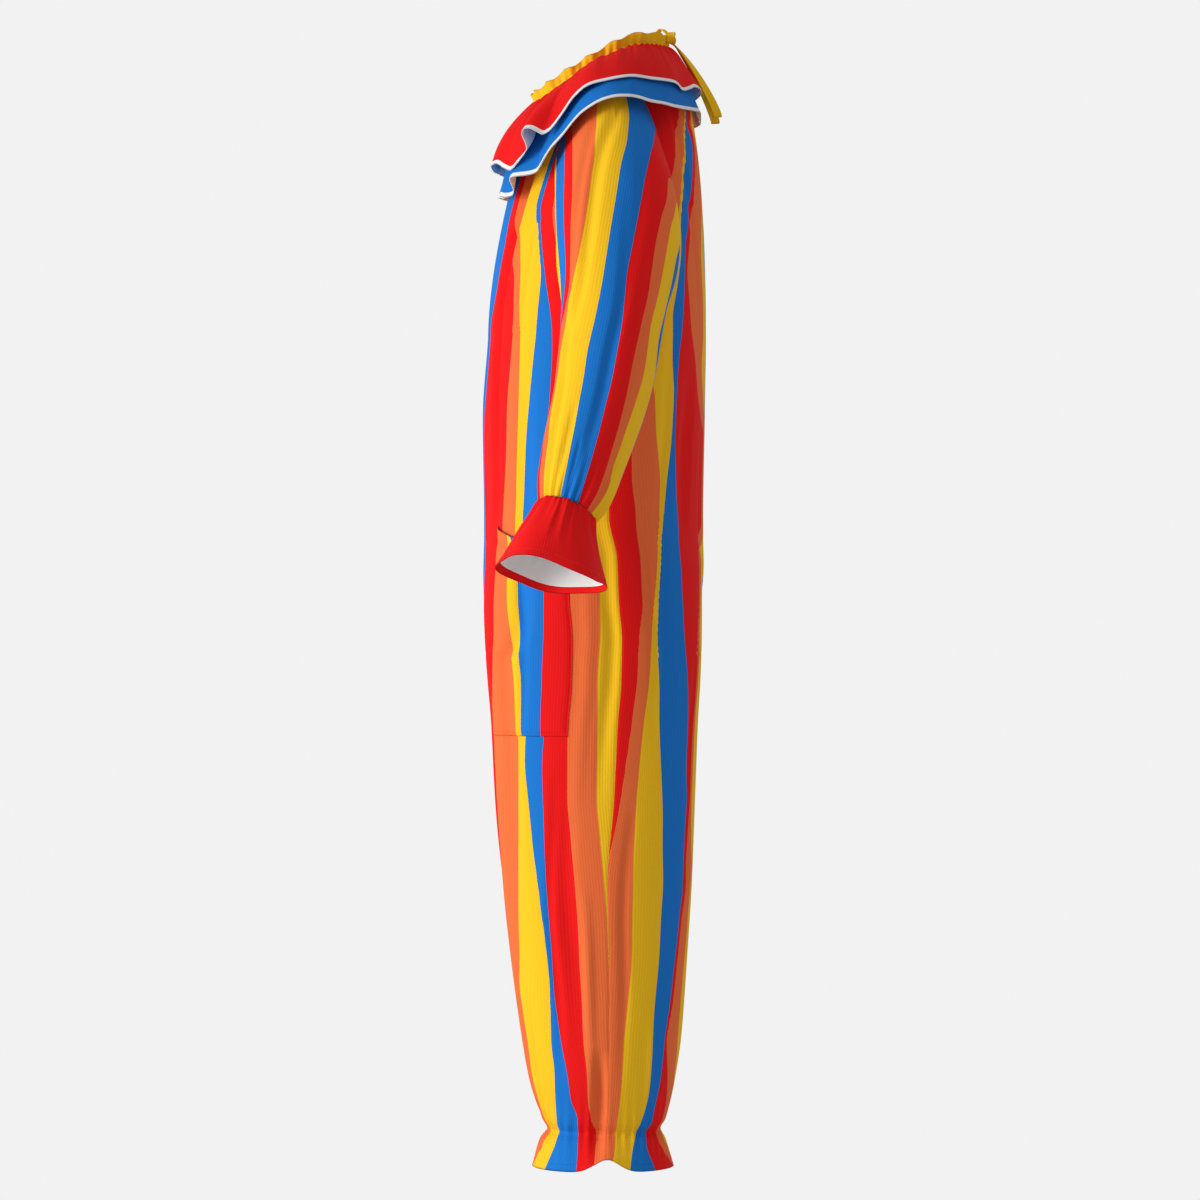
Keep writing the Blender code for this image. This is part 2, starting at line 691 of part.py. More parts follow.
def knot(collection):
    bpy.ops.mesh.primitive_uv_sphere_add(segments=14, ring_count=8, radius=0.5, location=KNOT)
    made = bpy.context.object
    made.name = "tie_knot"
    made.scale = KNOT_SIZE
    for holder in made.users_collection:
        holder.objects.unlink(made)
    collection.objects.link(made)
    made.data.materials.append(material("yellow_cloth"))
    made.data.shade_smooth()


def main():
    for old in list(bpy.context.scene.objects):
        bpy.data.objects.remove(old)
    costume = bpy.data.collections.new("clown_costume")
    bpy.context.scene.collection.children.link(costume)

    front, back = panel("front"), panel("back")
    arm, wrist, patch = sleeve(front, back), cuff(), pocket()
    body_core = (0.06, -0.01, math.nan)
    for side, turned in (("left", np.array), ("right", mirrored)):
        core = turned(np.array(body_core))
        cloth(costume, f"front_{side}", turned(front), core, "striped_cloth")
        cloth(costume, f"back_{side}", turned(back), core, "striped_cloth")
        cloth(costume, f"pocket_{side}", turned(patch), core, "striped_cloth", offset=1)
        middles = turned(arm.mean(axis=1))[:-1]
        cloth(costume, f"sleeve_{side}", turned(arm), middles, "striped_cloth", closed=True)
        middles = turned(wrist.mean(axis=1))[:-1]
        cloth(costume, f"cuff_{side}", turned(wrist), middles, "red_cloth", closed=True)

    under = []
    for turned in (np.array, mirrored):
        for grid in (front, back):
            under.append(tree_of(turned(grid), turned(np.array(body_core))))
        under.append(tree_of(turned(arm), turned(arm.mean(axis=1))[:-1], True))
    below = (0.0, 0.0, -0.4)
    gap = TIER_CLEARANCE + RUFFLE_CLOTH
    lower = held_off(tier(LOWER_HEM, LOWER_LIFT, "lower"), under, gap)
    under.append(tree_of(lower, below))
    upper = held_off(tier(UPPER_HEM, UPPER_LIFT, "upper"), under, gap)
    cloth(costume, "collar_lower", lower, below, "blue_cloth", RUFFLE_CLOTH)
    cloth(costume, "collar_upper", upper, below, "red_cloth", RUFFLE_CLOTH)
    cloth(costume, "neck_casing", casing(), (0, 0, math.nan), "yellow_cloth")

    knot(costume)
    inside = np.array(KNOT)
    for name, (path, width_way), ends in (
        ("tie_loop_left", loop_path((0.93, 0.10, 0.30), 0.027, 0.008), (0, 1)),
        ("tie_loop_right", loop_path((-0.75, 0.08, 0.62), 0.022, 0.008), (0, 1)),
        ("tie_tail_left", tail_path(1, TAIL_END_LEFT), (0,)),
        ("tie_tail_right", tail_path(-1, TAIL_END_RIGHT), (0,)),
    ):
        tape = strip(path, width_way, ends)
        cloth(costume, name, tape, inside, "yellow_cloth", TAPE, offset=0)


main()
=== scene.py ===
"""Cloth, trim and stage for the clown costume, laid out as a Blender add-on.

Metres, +Z up, the front faces -Y and the wearer's left is +X. Each piece of cloth
is a surface worked out on a grid of rows and columns, and closed into a thin shell
with a rounded edge. Stripes and ribs follow the cloth on two UV maps.
"""

import json
import math
from collections import namedtuple

import bpy
import numpy as np
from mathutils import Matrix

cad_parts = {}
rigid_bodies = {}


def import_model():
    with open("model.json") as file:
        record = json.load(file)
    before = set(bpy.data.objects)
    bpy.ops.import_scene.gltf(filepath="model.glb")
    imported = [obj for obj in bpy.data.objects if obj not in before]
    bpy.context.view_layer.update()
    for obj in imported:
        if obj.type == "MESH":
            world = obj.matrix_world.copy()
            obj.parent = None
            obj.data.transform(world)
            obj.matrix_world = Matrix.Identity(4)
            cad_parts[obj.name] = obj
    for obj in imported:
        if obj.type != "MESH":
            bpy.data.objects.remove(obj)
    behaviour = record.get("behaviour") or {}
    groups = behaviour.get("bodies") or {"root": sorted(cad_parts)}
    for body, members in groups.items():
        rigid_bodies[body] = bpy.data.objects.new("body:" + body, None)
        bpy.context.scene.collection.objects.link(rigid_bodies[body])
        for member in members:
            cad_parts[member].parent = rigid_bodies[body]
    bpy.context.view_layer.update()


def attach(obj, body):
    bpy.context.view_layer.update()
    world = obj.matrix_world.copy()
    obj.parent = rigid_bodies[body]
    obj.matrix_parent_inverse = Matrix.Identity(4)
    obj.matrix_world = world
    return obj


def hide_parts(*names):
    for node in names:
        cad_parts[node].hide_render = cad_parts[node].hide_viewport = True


bl_info = {
    "name": "Clown costume",
    "version": (1, 0, 0),
    "blender": (4, 5, 0),
    "location": "View3D > Sidebar > Costume",
    "description": "Makes a striped clown costume with ruffled collar, cuffs and tie",
    "category": "Add Mesh",
}

for startup in list(bpy.data.objects):
    bpy.data.objects.remove(startup)
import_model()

SHARP = 1e-9
CHEST, MERGE_TOP, CROTCH, ANKLE, HEM = -0.343, -0.60, -0.74, -1.3337, -1.374
YOKE_RISE = 0.30
GATHER_DEPTH, GATHER_REACH, ANKLE_GATHERS = 0.0022, 0.030, 3
HEM_DROP, HEM_NOTCH, HEM_NOTCH_WIDTH = 0.0055, 0.0165, 0.022
NECK_HALF_WIDTH, NECK_HALF_DEPTH, NECK_MIDDLE = 0.080, 0.0855, -0.0025
SHOULDER_TIP = (0.186, 0.012, -0.066)
SHOULDER_ANGLE = math.radians(96)
WRIST_GATHERS, WRIST_DEPTH = 9, 0.0018
RIM_WAVES, RIM_WAVE, RIM_TURN = 5, 0.0030, math.radians(200)
COLLAR_SPLIT = math.radians(0.6)
TIER_START, LOWER_LIFT, UPPER_LIFT, TIER_CLEARANCE = 0.0017, 0.0024, 0.0052, 0.0024
CASING_START, CASING_HEIGHT, CASING_FLARE = 0.0010, 0.0176, 0.0035
POCKET_INNER, POCKET_OUTER = 0.190, 0.061
POCKET_TOP_INNER, POCKET_TOP_OUTER, POCKET_FOOT = -0.581, -0.618, -0.840
POCKET_MOUTH, POCKET_LIFT = 0.0034, 0.0024
KNOT = np.array([0.0, 0.0873, 0.0374])
KNOT_SIZE = (0.011, 0.009, 0.011)
KNOT_DRAW, DRAWN_SHARE = 0.55, 0.18
TAIL_BULGE = np.array([0.0, 0.0045, 0.0035])
TAIL_END_LEFT = (0.013, 0.1440, -0.0610)
TAIL_END_RIGHT = (-0.019, 0.1420, -0.0660)

# How high the neck seam runs, by its angle from the centre front.
Neckline = namedtuple("Neckline", "angle height")
NECKLINE = (
    Neckline(0, -0.0500),
    Neckline(30, -0.0446),
    Neckline(60, -0.0261),
    Neckline(75, -0.0139),
    Neckline(90, -0.0009),
    Neckline(105, 0.0118),
    Neckline(118, 0.0190),
    Neckline(135, 0.0215),
    Neckline(180, 0.0215),
)

# Level sections of the body and leg: the front, back and outer reach, the side
# seam's place, half the gap between the legs, and how square the section is.
Section = namedtuple("Section", "height front back side side_seam gap square")
BODY = (
    Section(-0.343, -0.1470, 0.1295, 0.205, 0.012, 0.000, 2.3),
    Section(-0.444, -0.1537, 0.1280, 0.213, 0.008, 0.000, 2.3),
    Section(-0.571, -0.1520, 0.1260, 0.222, 0.006, 0.000, 2.2),
    Section(-0.622, -0.1520, 0.1260, 0.226, 0.016, 0.000, 2.2),
    Section(-0.673, -0.1510, 0.1230, 0.228, 0.018, 0.000, 2.2),
    Section(-0.724, -0.1486, 0.1220, 0.229, 0.022, 0.000, 2.2),
    Section(-0.775, -0.1450, 0.1200, 0.228, 0.021, 0.001, 2.2),
    Section(-0.823, -0.1409, 0.1172, 0.225, 0.017, 0.003, 2.2),
    Section(-0.922, -0.1359, 0.1134, 0.219, 0.012, 0.006, 2.2),
    Section(-1.022, -0.1272, 0.1097, 0.211, 0.004, 0.009, 2.1),
    Section(-1.122, -0.1160, 0.1035, 0.201, 0.006, 0.012, 2.1),
    Section(-1.222, -0.1022, 0.0960, 0.189, 0.006, 0.015, 2.0),
    Section(-1.271, -0.0935, 0.0885, 0.180, 0.005, 0.017, 2.0),
    Section(-1.296, -0.0860, 0.0835, 0.172, 0.005, 0.019, 2.0),
    Section(-1.321, -0.0761, 0.0760, 0.163, 0.004, 0.022, 2.0),
    Section(-1.3337, -0.0698, 0.0698, 0.157, 0.003, 0.025, 2.0),
    Section(-1.346, -0.0790, 0.0760, 0.163, 0.003, 0.019, 2.0),
    Section(-1.374, -0.0898, 0.0873, 0.173, 0.003, 0.010, 2.0),
)

# How a yoke column leaves the chest and meets the neckline or the shoulder seam.
Column = namedtuple("Column", "place rise run lift")
YOKE = {
    "front": (
        Column(0.00, 0.30, 0.040, 0.10),
        Column(0.30, 0.34, 0.080, 0.09),
        Column(0.45, 0.34, 0.110, 0.06),
        Column(0.60, 0.33, 0.140, 0.02),
        Column(0.75, 0.33, 0.150, 0.00),
        Column(1.00, 0.28, 0.150, 0.00),
    ),
    "back": (
        Column(0.00, 0.65, -0.085, 0.09),
        Column(0.30, 0.57, -0.110, 0.07),
        Column(0.45, 0.42, -0.150, 0.02),
        Column(0.60, 0.35, -0.165, 0.00),
        Column(0.75, 0.34, -0.170, 0.00),
        Column(1.00, 0.28, -0.150, 0.00),
    ),
}

# How far each armhole is cut in from the side, against its height.
Armhole = namedtuple("Armhole", "height front back")
ARMHOLE = (
    Armhole(0.00, 0.00, 0.00),
    Armhole(0.03, 0.10, 0.10),
    Armhole(0.10, 0.17, 0.21),
    Armhole(0.25, 0.22, 0.36),
    Armhole(0.37, 0.26, 0.43),
    Armhole(0.46, 0.34, 0.47),
    Armhole(0.54, 0.42, 0.50),
    Armhole(0.65, 0.43, 0.50),
    Armhole(0.82, 0.36, 0.46),
    Armhole(0.93, 0.26, 0.33),
    Armhole(1.00, 0.079, 0.087),
)

# Rings of the left sleeve and cuff: centre, half the reach across the arm and
# along its front-to-back line, and the tilts outwards and forwards in degrees.
Ring = namedtuple("Ring", "x y z across depth out forward")
SLEEVE = (
    Ring(0.2290, 0.0165, -0.233, 0.1100, 0.0765, 80, 0),
    Ring(0.2690, 0.011, -0.322, 0.0660, 0.0640, 32, 2),
    Ring(0.3180, -0.001, -0.415, 0.0565, 0.0585, 28, 7),
    Ring(0.3640, -0.025, -0.505, 0.0490, 0.0510, 27, 13),
    Ring(0.3860, -0.037, -0.548, 0.0420, 0.0440, 27, 17),
    Ring(0.3945, -0.0445, -0.5685, 0.0340, 0.0355, 27, 20),
)
CUFF = (
    Ring(0.3945, -0.0445, -0.5685, 0.0340, 0.0355, 27, 20),
    Ring(0.4010, -0.0485, -0.5850, 0.0390, 0.0410, 25, 18),
    Ring(0.4120, -0.0550, -0.6120, 0.0500, 0.0530, 22, 14),
    Ring(0.4250, -0.0620, -0.6434, 0.0610, 0.0665, 19, 10),
)

# The hem line of each collar tier on the left, by its angle from the centre
# front, without the flutes, and how far the tier arches up on its way there.
Hem = namedtuple("Hem", "angle x y z arch")
UPPER_HEM = (
    Hem(0, 0.000, -0.134, -0.132, 0.010),
    Hem(20, 0.062, -0.128, -0.131, 0.011),
    Hem(38, 0.108, -0.112, -0.125, 0.012),
    Hem(50, 0.133, -0.094, -0.111, 0.013),
    Hem(62, 0.153, -0.074, -0.094, 0.014),
    Hem(72, 0.165, -0.054, -0.076, 0.014),
    Hem(82, 0.173, -0.030, -0.048, 0.014),
    Hem(93, 0.177, -0.003, -0.036, 0.013),
    Hem(107, 0.170, 0.030, -0.031, 0.012),
    Hem(122, 0.152, 0.060, -0.032, 0.009),
    Hem(143, 0.108, 0.092, -0.033, 0.006),
    Hem(160, 0.058, 0.116, -0.033, 0.003),
    Hem(180, 0.000, 0.1235, -0.031, 0.002),
)
LOWER_HEM = (
    Hem(0, 0.000, -0.126, -0.163, 0.006),
    Hem(20, 0.062, -0.122, -0.162, 0.007),
    Hem(38, 0.110, -0.108, -0.153, 0.008),
    Hem(50, 0.137, -0.093, -0.146, 0.009),
    Hem(62, 0.162, -0.077, -0.132, 0.010),
    Hem(72, 0.179, -0.059, -0.112, 0.010),
    Hem(82, 0.193, -0.036, -0.084, 0.010),
    Hem(93, 0.200, -0.005, -0.063, 0.009),
    Hem(107, 0.198, 0.030, -0.056, 0.008),
    Hem(122, 0.180, 0.060, -0.058, 0.006),
    Hem(143, 0.128, 0.094, -0.062, 0.003),
    Hem(160, 0.070, 0.115, -0.067, 0.002),
    Hem(180, 0.000, 0.1235, -0.069, 0.002),
)

# The hem line of each tier on the left, with its flutes.
Edge = namedtuple("Edge", "angle x y z")
UPPER_LEFT = (
    Edge(0, 0.0000, -0.1340, -0.1320),
    Edge(12, 0.0400, -0.1387, -0.1331),
    Edge(22, 0.0690, -0.1418, -0.1288),
    Edge(29, 0.0910, -0.1351, -0.1271),
    Edge(35, 0.1100, -0.1247, -0.1344),
    Edge(40, 0.1270, -0.1156, -0.1391),
    Edge(45, 0.1420, -0.1054, -0.1299),
    Edge(49, 0.1520, -0.0985, -0.1197),
    Edge(52, 0.1570, -0.0965, -0.1140),
    Edge(55, 0.1610, -0.0995, -0.1057),
    Edge(58, 0.1650, -0.1026, -0.0975),
    Edge(61, 0.1680, -0.0994, -0.0916),
    Edge(64, 0.1700, -0.0926, -0.0912),
    Edge(67, 0.1715, -0.0840, -0.0950),
    Edge(70, 0.1725, -0.0753, -0.0988),
    Edge(73, 0.1735, -0.0654, -0.0921),
    Edge(77, 0.1745, -0.0531, -0.0756),
    Edge(82, 0.1760, -0.0383, -0.0529),
    Edge(88, 0.1770, -0.0235, -0.0407),
    Edge(95, 0.1765, -0.0075, -0.0351),
    Edge(105, 0.1735, 0.0147, -0.0311),
    Edge(117, 0.1630, 0.0407, -0.0275),
    Edge(130, 0.1430, 0.0644, -0.0277),
    Edge(142, 0.1190, 0.0821, -0.0276),
    Edge(150, 0.1000, 0.0924, -0.0292),
    Edge(156, 0.0840, 0.0996, -0.0344),
    Edge(162, 0.0660, 0.1080, -0.0312),
    Edge(168, 0.0460, 0.1154, -0.0265),
    Edge(174, 0.0240, 0.1215, -0.0279),
    Edge(180, 0.0000, 0.1235, -0.0310),
)
LOWER_LEFT = (
    Edge(0, 0.0000, -0.1260, -0.1630),
    Edge(14, 0.0420, -0.1286, -0.1648),
    Edge(24, 0.0700, -0.1311, -0.1659),
    Edge(32, 0.0900, -0.1238, -0.1689),
    Edge(38, 0.1040, -0.1161, -0.1682),
    Edge(43, 0.1140, -0.1128, -0.1622),
    Edge(47, 0.1210, -0.1151, -0.1553),
    Edge(51, 0.1280, -0.1175, -0.1504),
    Edge(55, 0.1360, -0.1130, -0.1480),
    Edge(60, 0.1460, -0.1004, -0.1470),
    Edge(65, 0.1560, -0.0860, -0.1442),
    Edge(70, 0.1650, -0.0766, -0.1320),
    Edge(75, 0.1740, -0.0673, -0.1181),
    Edge(81, 0.1830, -0.0530, -0.1029),
    Edge(87, 0.1910, -0.0394, -0.0871),
    Edge(94, 0.1975, -0.0234, -0.0724),
    Edge(102, 0.2005, -0.0025, -0.0598),
    Edge(111, 0.1985, 0.0196, -0.0541),
    Edge(122, 0.1870, 0.0430, -0.0559),
    Edge(133, 0.1660, 0.0654, -0.0593),
    Edge(145, 0.1340, 0.0869, -0.0603),
    Edge(156, 0.0960, 0.1025, -0.0594),
    Edge(166, 0.0600, 0.1144, -0.0576),
    Edge(174, 0.0260, 0.1214, -0.0566),
    Edge(180, 0.0000, 0.1235, -0.0690),
)

# The flutes of the ruffles on the right: middle and half width in degrees from the centre
# front, how far they stand up at each hem, and how far they lean along it.
Flute = namedtuple("Flute", "angle spread upper lower lean")
FLUTES = (
    Flute(-15, 13, 0.015, 0.013, 0.002),
    Flute(-44, 14, 0.022, 0.015, 0.007),
    Flute(-72, 12, 0.011, 0.006, 0.002),
    Flute(-101, 14, 0.007, 0.005, 0.000),
    Flute(-131, 13, 0.011, 0.007, -0.003),
    Flute(-156, 14, 0.002, 0.002, -0.002),
)

# Long soft folds pressed into a panel, by share of the way from the centre line.
Fold = namedtuple("Fold", "top bottom top_place bottom_place depth half_width")
FOLDS = {
    "front": (
        Fold(-0.36, -1.16, 0.62, 0.66, 0.0060, 0.024),
        Fold(-0.86, -1.24, 0.84, 0.88, 0.0040, 0.020),
    ),
    "back": (
        Fold(-0.38, -0.60, 0.50, 0.56, 0.0060, 0.026),
        Fold(-0.80, -1.26, 0.40, 0.44, 0.0040, 0.024),
    ),
}

# Softer creases, by level and by distance from the side seam in metres. A minus
# depth is a ridge.
Crease = namedtuple("Crease", "top bottom top_away bottom_away depth half_width")
CREASES = {
    "front": (
        Crease(-0.13, -0.62, 0.190, 0.190, 0.0110, 0.018),
        Crease(-0.16, -0.44, 0.120, 0.132, 0.0022, 0.010),
        Crease(-0.24, -0.78, 0.245, 0.262, 0.0034, 0.018),
        Crease(-0.50, -0.98, 0.132, 0.122, 0.0026, 0.010),
        Crease(-0.62, -0.95, 0.034, 0.052, -0.0022, 0.014),
        Crease(-0.56, -0.94, 0.012, 0.016, 0.0042, 0.013),
        Crease(-0.76, -1.20, 0.205, 0.176, 0.0036, 0.016),
        Crease(-0.88, -1.30, 0.078, 0.060, 0.0026, 0.010),
        Crease(-1.02, -1.30, 0.026, 0.020, -0.0030, 0.010),
        Crease(-1.225, -1.385, 0.012, 0.010, 0.0085, 0.013),
        Crease(-1.10, -1.33, 0.150, 0.118, 0.0050, 0.016),
        Crease(-1.14, -1.34, 0.125, 0.100, -0.0026, 0.011),
        Crease(-0.74, -0.92, 0.330, 0.400, 0.0040, 0.020),
        Crease(-0.80, -1.02, 0.420, 0.360, 0.0030, 0.016),
    ),
    "back": (
        Crease(-0.10, -0.40, 0.180, 0.160, 0.0030, 0.014),
        Crease(-0.34, -0.66, 0.085, 0.060, 0.0026, 0.012),
        Crease(-0.42, -0.90, 0.190, 0.214, 0.0030, 0.018),
        Crease(-0.56, -0.86, 0.034, 0.050, 0.0030, 0.012),
        Crease(-0.70, -1.12, 0.120, 0.110, 0.0028, 0.012),
        Crease(-0.92, -1.28, 0.022, 0.014, 0.0030, 0.010),
        Crease(-1.00, -1.31, 0.150, 0.104, 0.0030, 0.014),
        Crease(-1.18, -1.34, 0.060, 0.050, -0.0024, 0.009),
        Crease(-0.76, -0.96, 0.270, 0.330, 0.0040, 0.020),
        Crease(-0.24, -0.58, 0.235, 0.250, 0.0026, 0.016),
    ),
}

# Where the stripes change colour on the left panels: the level, and the distance
# from the side seam, in millimetres, of one line after the other.
Lines = namedtuple("Lines", "level a b c d e f g")
FRONT_LINES = (
    Lines(-0.050, 290, 229, 206, 190, 141, 127, 95),
    Lines(-0.223, 290, 221, 201, 185, 141, 129, 95),
    Lines(-0.256, 290, 212, 183, 158, 112, 107, 80),
    Lines(-0.292, 290, 212, 153, 139, 98, 90, 62),
    Lines(-0.331, 290, 232, 145, 132, 100, 79, 50),
    Lines(-0.379, 293, 250, 147, 129, 104, 76, 45),
    Lines(-0.427, 297, 262, 150, 127, 108, 77, 45),
    Lines(-0.475, 301, 268, 152, 129, 114, 82, 47),
    Lines(-0.574, 304, 268, 167, 136, 123, 90, 56),
    Lines(-0.674, 302, 256, 186, 150, 135, 94, 60),
    Lines(-0.769, 262, 226, 190, 142, 128, 98, 66),
    Lines(-0.821, 264, 228, 199, 131, 118, 91, 62),
    Lines(-0.869, 262, 226, 205, 130, 117, 92, 60),
    Lines(-0.917, 260, 224, 188, 129, 110, 89, 58),
    Lines(-0.968, 256, 220, 184, 126, 100, 83, 49),
    Lines(-1.016, 250, 214, 178, 125, 90, 78, 41),
    Lines(-1.064, 246, 210, 174, 127, 84, 76, 38),
    Lines(-1.116, 242, 206, 170, 128, 78, 73, 37),
    Lines(-1.164, 236, 201, 165, 134, 75, 69, 34),
    Lines(-1.215, 230, 194, 161, 128, 75, 62, 32),
    Lines(-1.263, 212, 178, 145, 112, 70, 51, 26),
    Lines(-1.291, 200, 168, 137, 105, 70, 47, 25),
    Lines(-1.315, 192, 162, 131, 100, 69, 38, 21),
    Lines(-1.340, 190, 160, 129, 98, 68, 36, 15),
    Lines(-1.374, 230, 198, 164, 128, 87, 38, 16),
)
BACK_LINES = (
    Lines(-0.050, 206, 224, 226, 230, 250, 256, 292),
    Lines(-0.160, 190, 207, 209, 212, 231, 236, 272),
    Lines(-0.176, 178, 195, 197, 202, 217, 222, 258),
    Lines(-0.191, 158, 184, 186, 210, 222, 231, 266),
    Lines(-0.200, 150, 180, 182, 210, 220, 238, 274),
    Lines(-0.210, 134, 175, 177, 203, 213, 248, 284),
    Lines(-0.220, 118, 155, 165, 195, 206, 256, 292),
    Lines(-0.232, 104, 143, 146, 183, 194, 256, 292),
    Lines(-0.244, 92, 128, 135, 171, 182, 244, 278),
    Lines(-0.265, 66, 92, 122, 138, 151, 213, 247),
    Lines(-0.295, 40, 70, 100, 120, 129, 191, 225),
    Lines(-0.328, 14, 50, 86, 109, 130, 192, 226),
    Lines(-0.375, 8, 47, 88, 101, 150, 184, 221),
    Lines(-0.423, 14, 59, 93, 99, 169, 205, 241),
    Lines(-0.471, 27, 63, 91, 98, 214, 246, 276),
    Lines(-0.526, 29, 74, 84, 105, 214, 246, 276),
    Lines(-0.574, 35, 73, 78, 114, 214, 246, 276),
    Lines(-0.622, 31, 57, 62, 101, 167, 184, 224),
    Lines(-0.674, 31, 48, 53, 97, 153, 160, 200),
    Lines(-0.721, 22, 40, 47, 92, 131, 136, 180),
    Lines(-0.773, 20, 36, 50, 99, 127, 132, 170),
    Lines(-0.821, 18, 33, 54, 106, 124, 129, 172),
    Lines(-0.873, 13, 30, 59, 111, 122, 127, 168),
    Lines(-0.921, 8, 28, 64, 116, 121, 126, 166),
    Lines(-0.968, 3, 30, 69, 116, 121, 133, 170),
    Lines(-1.020, -4, 32, 74, 116, 121, 148, 180),
    Lines(-1.068, -8, 30, 70, 106, 111, 142, 182),
    Lines(-1.120, -10, 28, 66, 95, 100, 136, 176),
    Lines(-1.168, -12, 24, 61, 88, 93, 126, 164),
    Lines(-1.219, -14, 19, 57, 79, 82, 118, 152),
    Lines(-1.267, -16, 17, 55, 74, 89, 116, 146),
    Lines(-1.321, -14, 12, 44, 60, 93, 116, 140),
    Lines(-1.346, -14, 11, 35, 54, 84, 110, 134),
    Lines(-1.374, -16, 8, 30, 67, 118, 146, 176),
)
POCKET_LINES = (
    Lines(-0.575, 273, 237, 201, 149, 144, 103, 59),
    Lines(-0.598, 272, 236, 200, 149, 142, 101, 59),
    Lines(-0.650, 258, 222, 180, 149, 135, 92, 59),
    Lines(-0.721, 256, 220, 178, 146, 133, 97, 59),
    Lines(-0.769, 260, 224, 181, 139, 128, 98, 59),
    Lines(-0.840, 264, 228, 192, 131, 124, 95, 59),
)
# The same on the left sleeve: the share of its length, and degrees from its top
# line, forwards first.
SLEEVE_LINES = (
    Lines(0.00, 56, 46, 23, -26, -62, -92, -116),
    Lines(0.05, 55, 47, 23, -23, -54, -84, -108),
    Lines(0.10, 56, 46, 23, -18, -46, -75, -98),
    Lines(0.15, 57, 46, 22, -12, -39, -66, -82),
    Lines(0.20, 58, 46, 22, -8, -32, -54, -70),
    Lines(0.25, 60, 47, 26, -3, -27, -52, -65),
    Lines(0.29, 61, 50, 30, 0, -24, -47, -61),
    Lines(0.35, 61, 54, 39, 6, -19, -44, -60),
    Lines(0.41, 68, 58, 52, 11, -15, -44, -58),
    Lines(0.51, 84, 80, 67, 17, -15, -40, -52),
    Lines(0.62, 96, 86, 71, 21, -14, -37, -55),
    Lines(0.73, 104, 88, 69, 19, -15, -40, -54),
    Lines(0.84, 94, 76, 59, 15, -18, -43, -55),
    Lines(0.95, 90, 72, 55, 14, -19, -46, -63),
    Lines(1.00, 90, 72, 54, 14, -25, -48, -63),
)
STRIPE = 0.0365
STITCH_PITCH, STITCH_LENGTH, THREAD = 0.0036, 0.0024, 0.00027


def smooth(at, places, values):
    """Values between the rows of a table: a cubic that never overshoots them. The
    tangent at a row is the harmonic mean of the slopes on its two sides, or 0
    where they differ in sign. values may hold several columns."""
    places, values = np.asarray(places, float), np.asarray(values, float)
    if places[0] > places[-1]:
        places, values = places[::-1], values[::-1]
    trailing = (1,) * (values.ndim - 1)
    step = np.diff(places).reshape(-1, *trailing)
    slope = np.diff(values, axis=0) / step
    same_way = slope[:-1] * slope[1:] > 0
    mean = 2 * slope[:-1] * slope[1:] / np.where(same_way, slope[:-1] + slope[1:], 1)
    tangent = np.concatenate([slope[:1], np.where(same_way, mean, 0), slope[-1:]])
    at = np.asarray(at, float)
    i = np.clip(np.searchsorted(places, at) - 1, 0, len(places) - 2)
    t = np.clip((at - places[i]) / np.diff(places)[i], 0, 1).reshape(*at.shape, *trailing)
    return (
        (1 + 2 * t) * (1 - t) ** 2 * values[i]
        + t * (1 - t) ** 2 * step[i] * tangent[i]
        + t * t * (3 - 2 * t) * values[i + 1]
        + t * t * (t - 1) * step[i] * tangent[i + 1]
    )


def column(table, name, at):
    """One named column of a table, read at these values of its first column."""
    return smooth(at, [row[0] for row in table], [getattr(row, name) for row in table])


def bump(distance):
    """A soft rise: 1 at distance 0 and 0 from distance 1 on."""
    return np.cos(np.clip(np.abs(distance), 0, 1) * math.pi / 2) ** 2


def power(value, exponent):
    return np.sign(value) * np.abs(value) ** exponent


def unit(vectors):
    return vectors / np.maximum(np.linalg.norm(vectors, axis=-1, keepdims=True), SHARP)


def drift(at, seed, pitch, rows=1):
    """Uneven soft noise from -1 to 1: seeded values a pitch apart, joined by
    cosine curves. With more rows, each has values of its own."""
    at = np.asarray(at, float) / pitch
    low = math.floor(at.min())
    values = np.random.default_rng(seed).uniform(-1, 1, (rows, int(at.max()) - low + 3))
    cell = np.floor(at).astype(int) - low
    t = (1 - np.cos((at - np.floor(at)) * math.pi)) / 2
    made = values[:, cell] * (1 - t) + values[:, cell + 1] * t
    return made[0] if rows == 1 else made


def outlines(heights, samples=321):
    """The left half of the level section at each height, from the centre front
    round to the centre back, its length so far at each sample, and that length at
    the side seam. A section is a superellipse, narrowed to one leg below the body."""
    front, back, side, seam, gap, square = (
        column(BODY, name, heights)[:, None]
        for name in ("front", "back", "side", "side_seam", "gap", "square")
    )
    merged = np.clip((MERGE_TOP - heights) / (MERGE_TOP - CROTCH), 0, 1)[:, None]
    half = (side - gap) / (1 + merged)
    middle, depth = (front + back) / 2, (back - front) / 2
    angle = np.arccos(-(merged ** (square / 2))) * np.linspace(-1, 1, samples)
    x = np.maximum(side - half + half * power(np.cos(angle), 2 / square), 0)
    y = middle + depth * power(np.sin(angle), 2 / square)
    points = np.stack([x, y], 2)
    steps = np.linalg.norm(np.diff(points, axis=1), axis=2)
    length = np.concatenate([np.zeros((len(heights), 1)), np.cumsum(steps, 1)], 1)
    outer = np.cos(angle) > 0
    seam_length = np.array(
        [np.interp(s, row[o], run[o]) for s, row, run, o in zip(seam[:, 0], y, length, outer)]
    )
    return points, length, seam_length


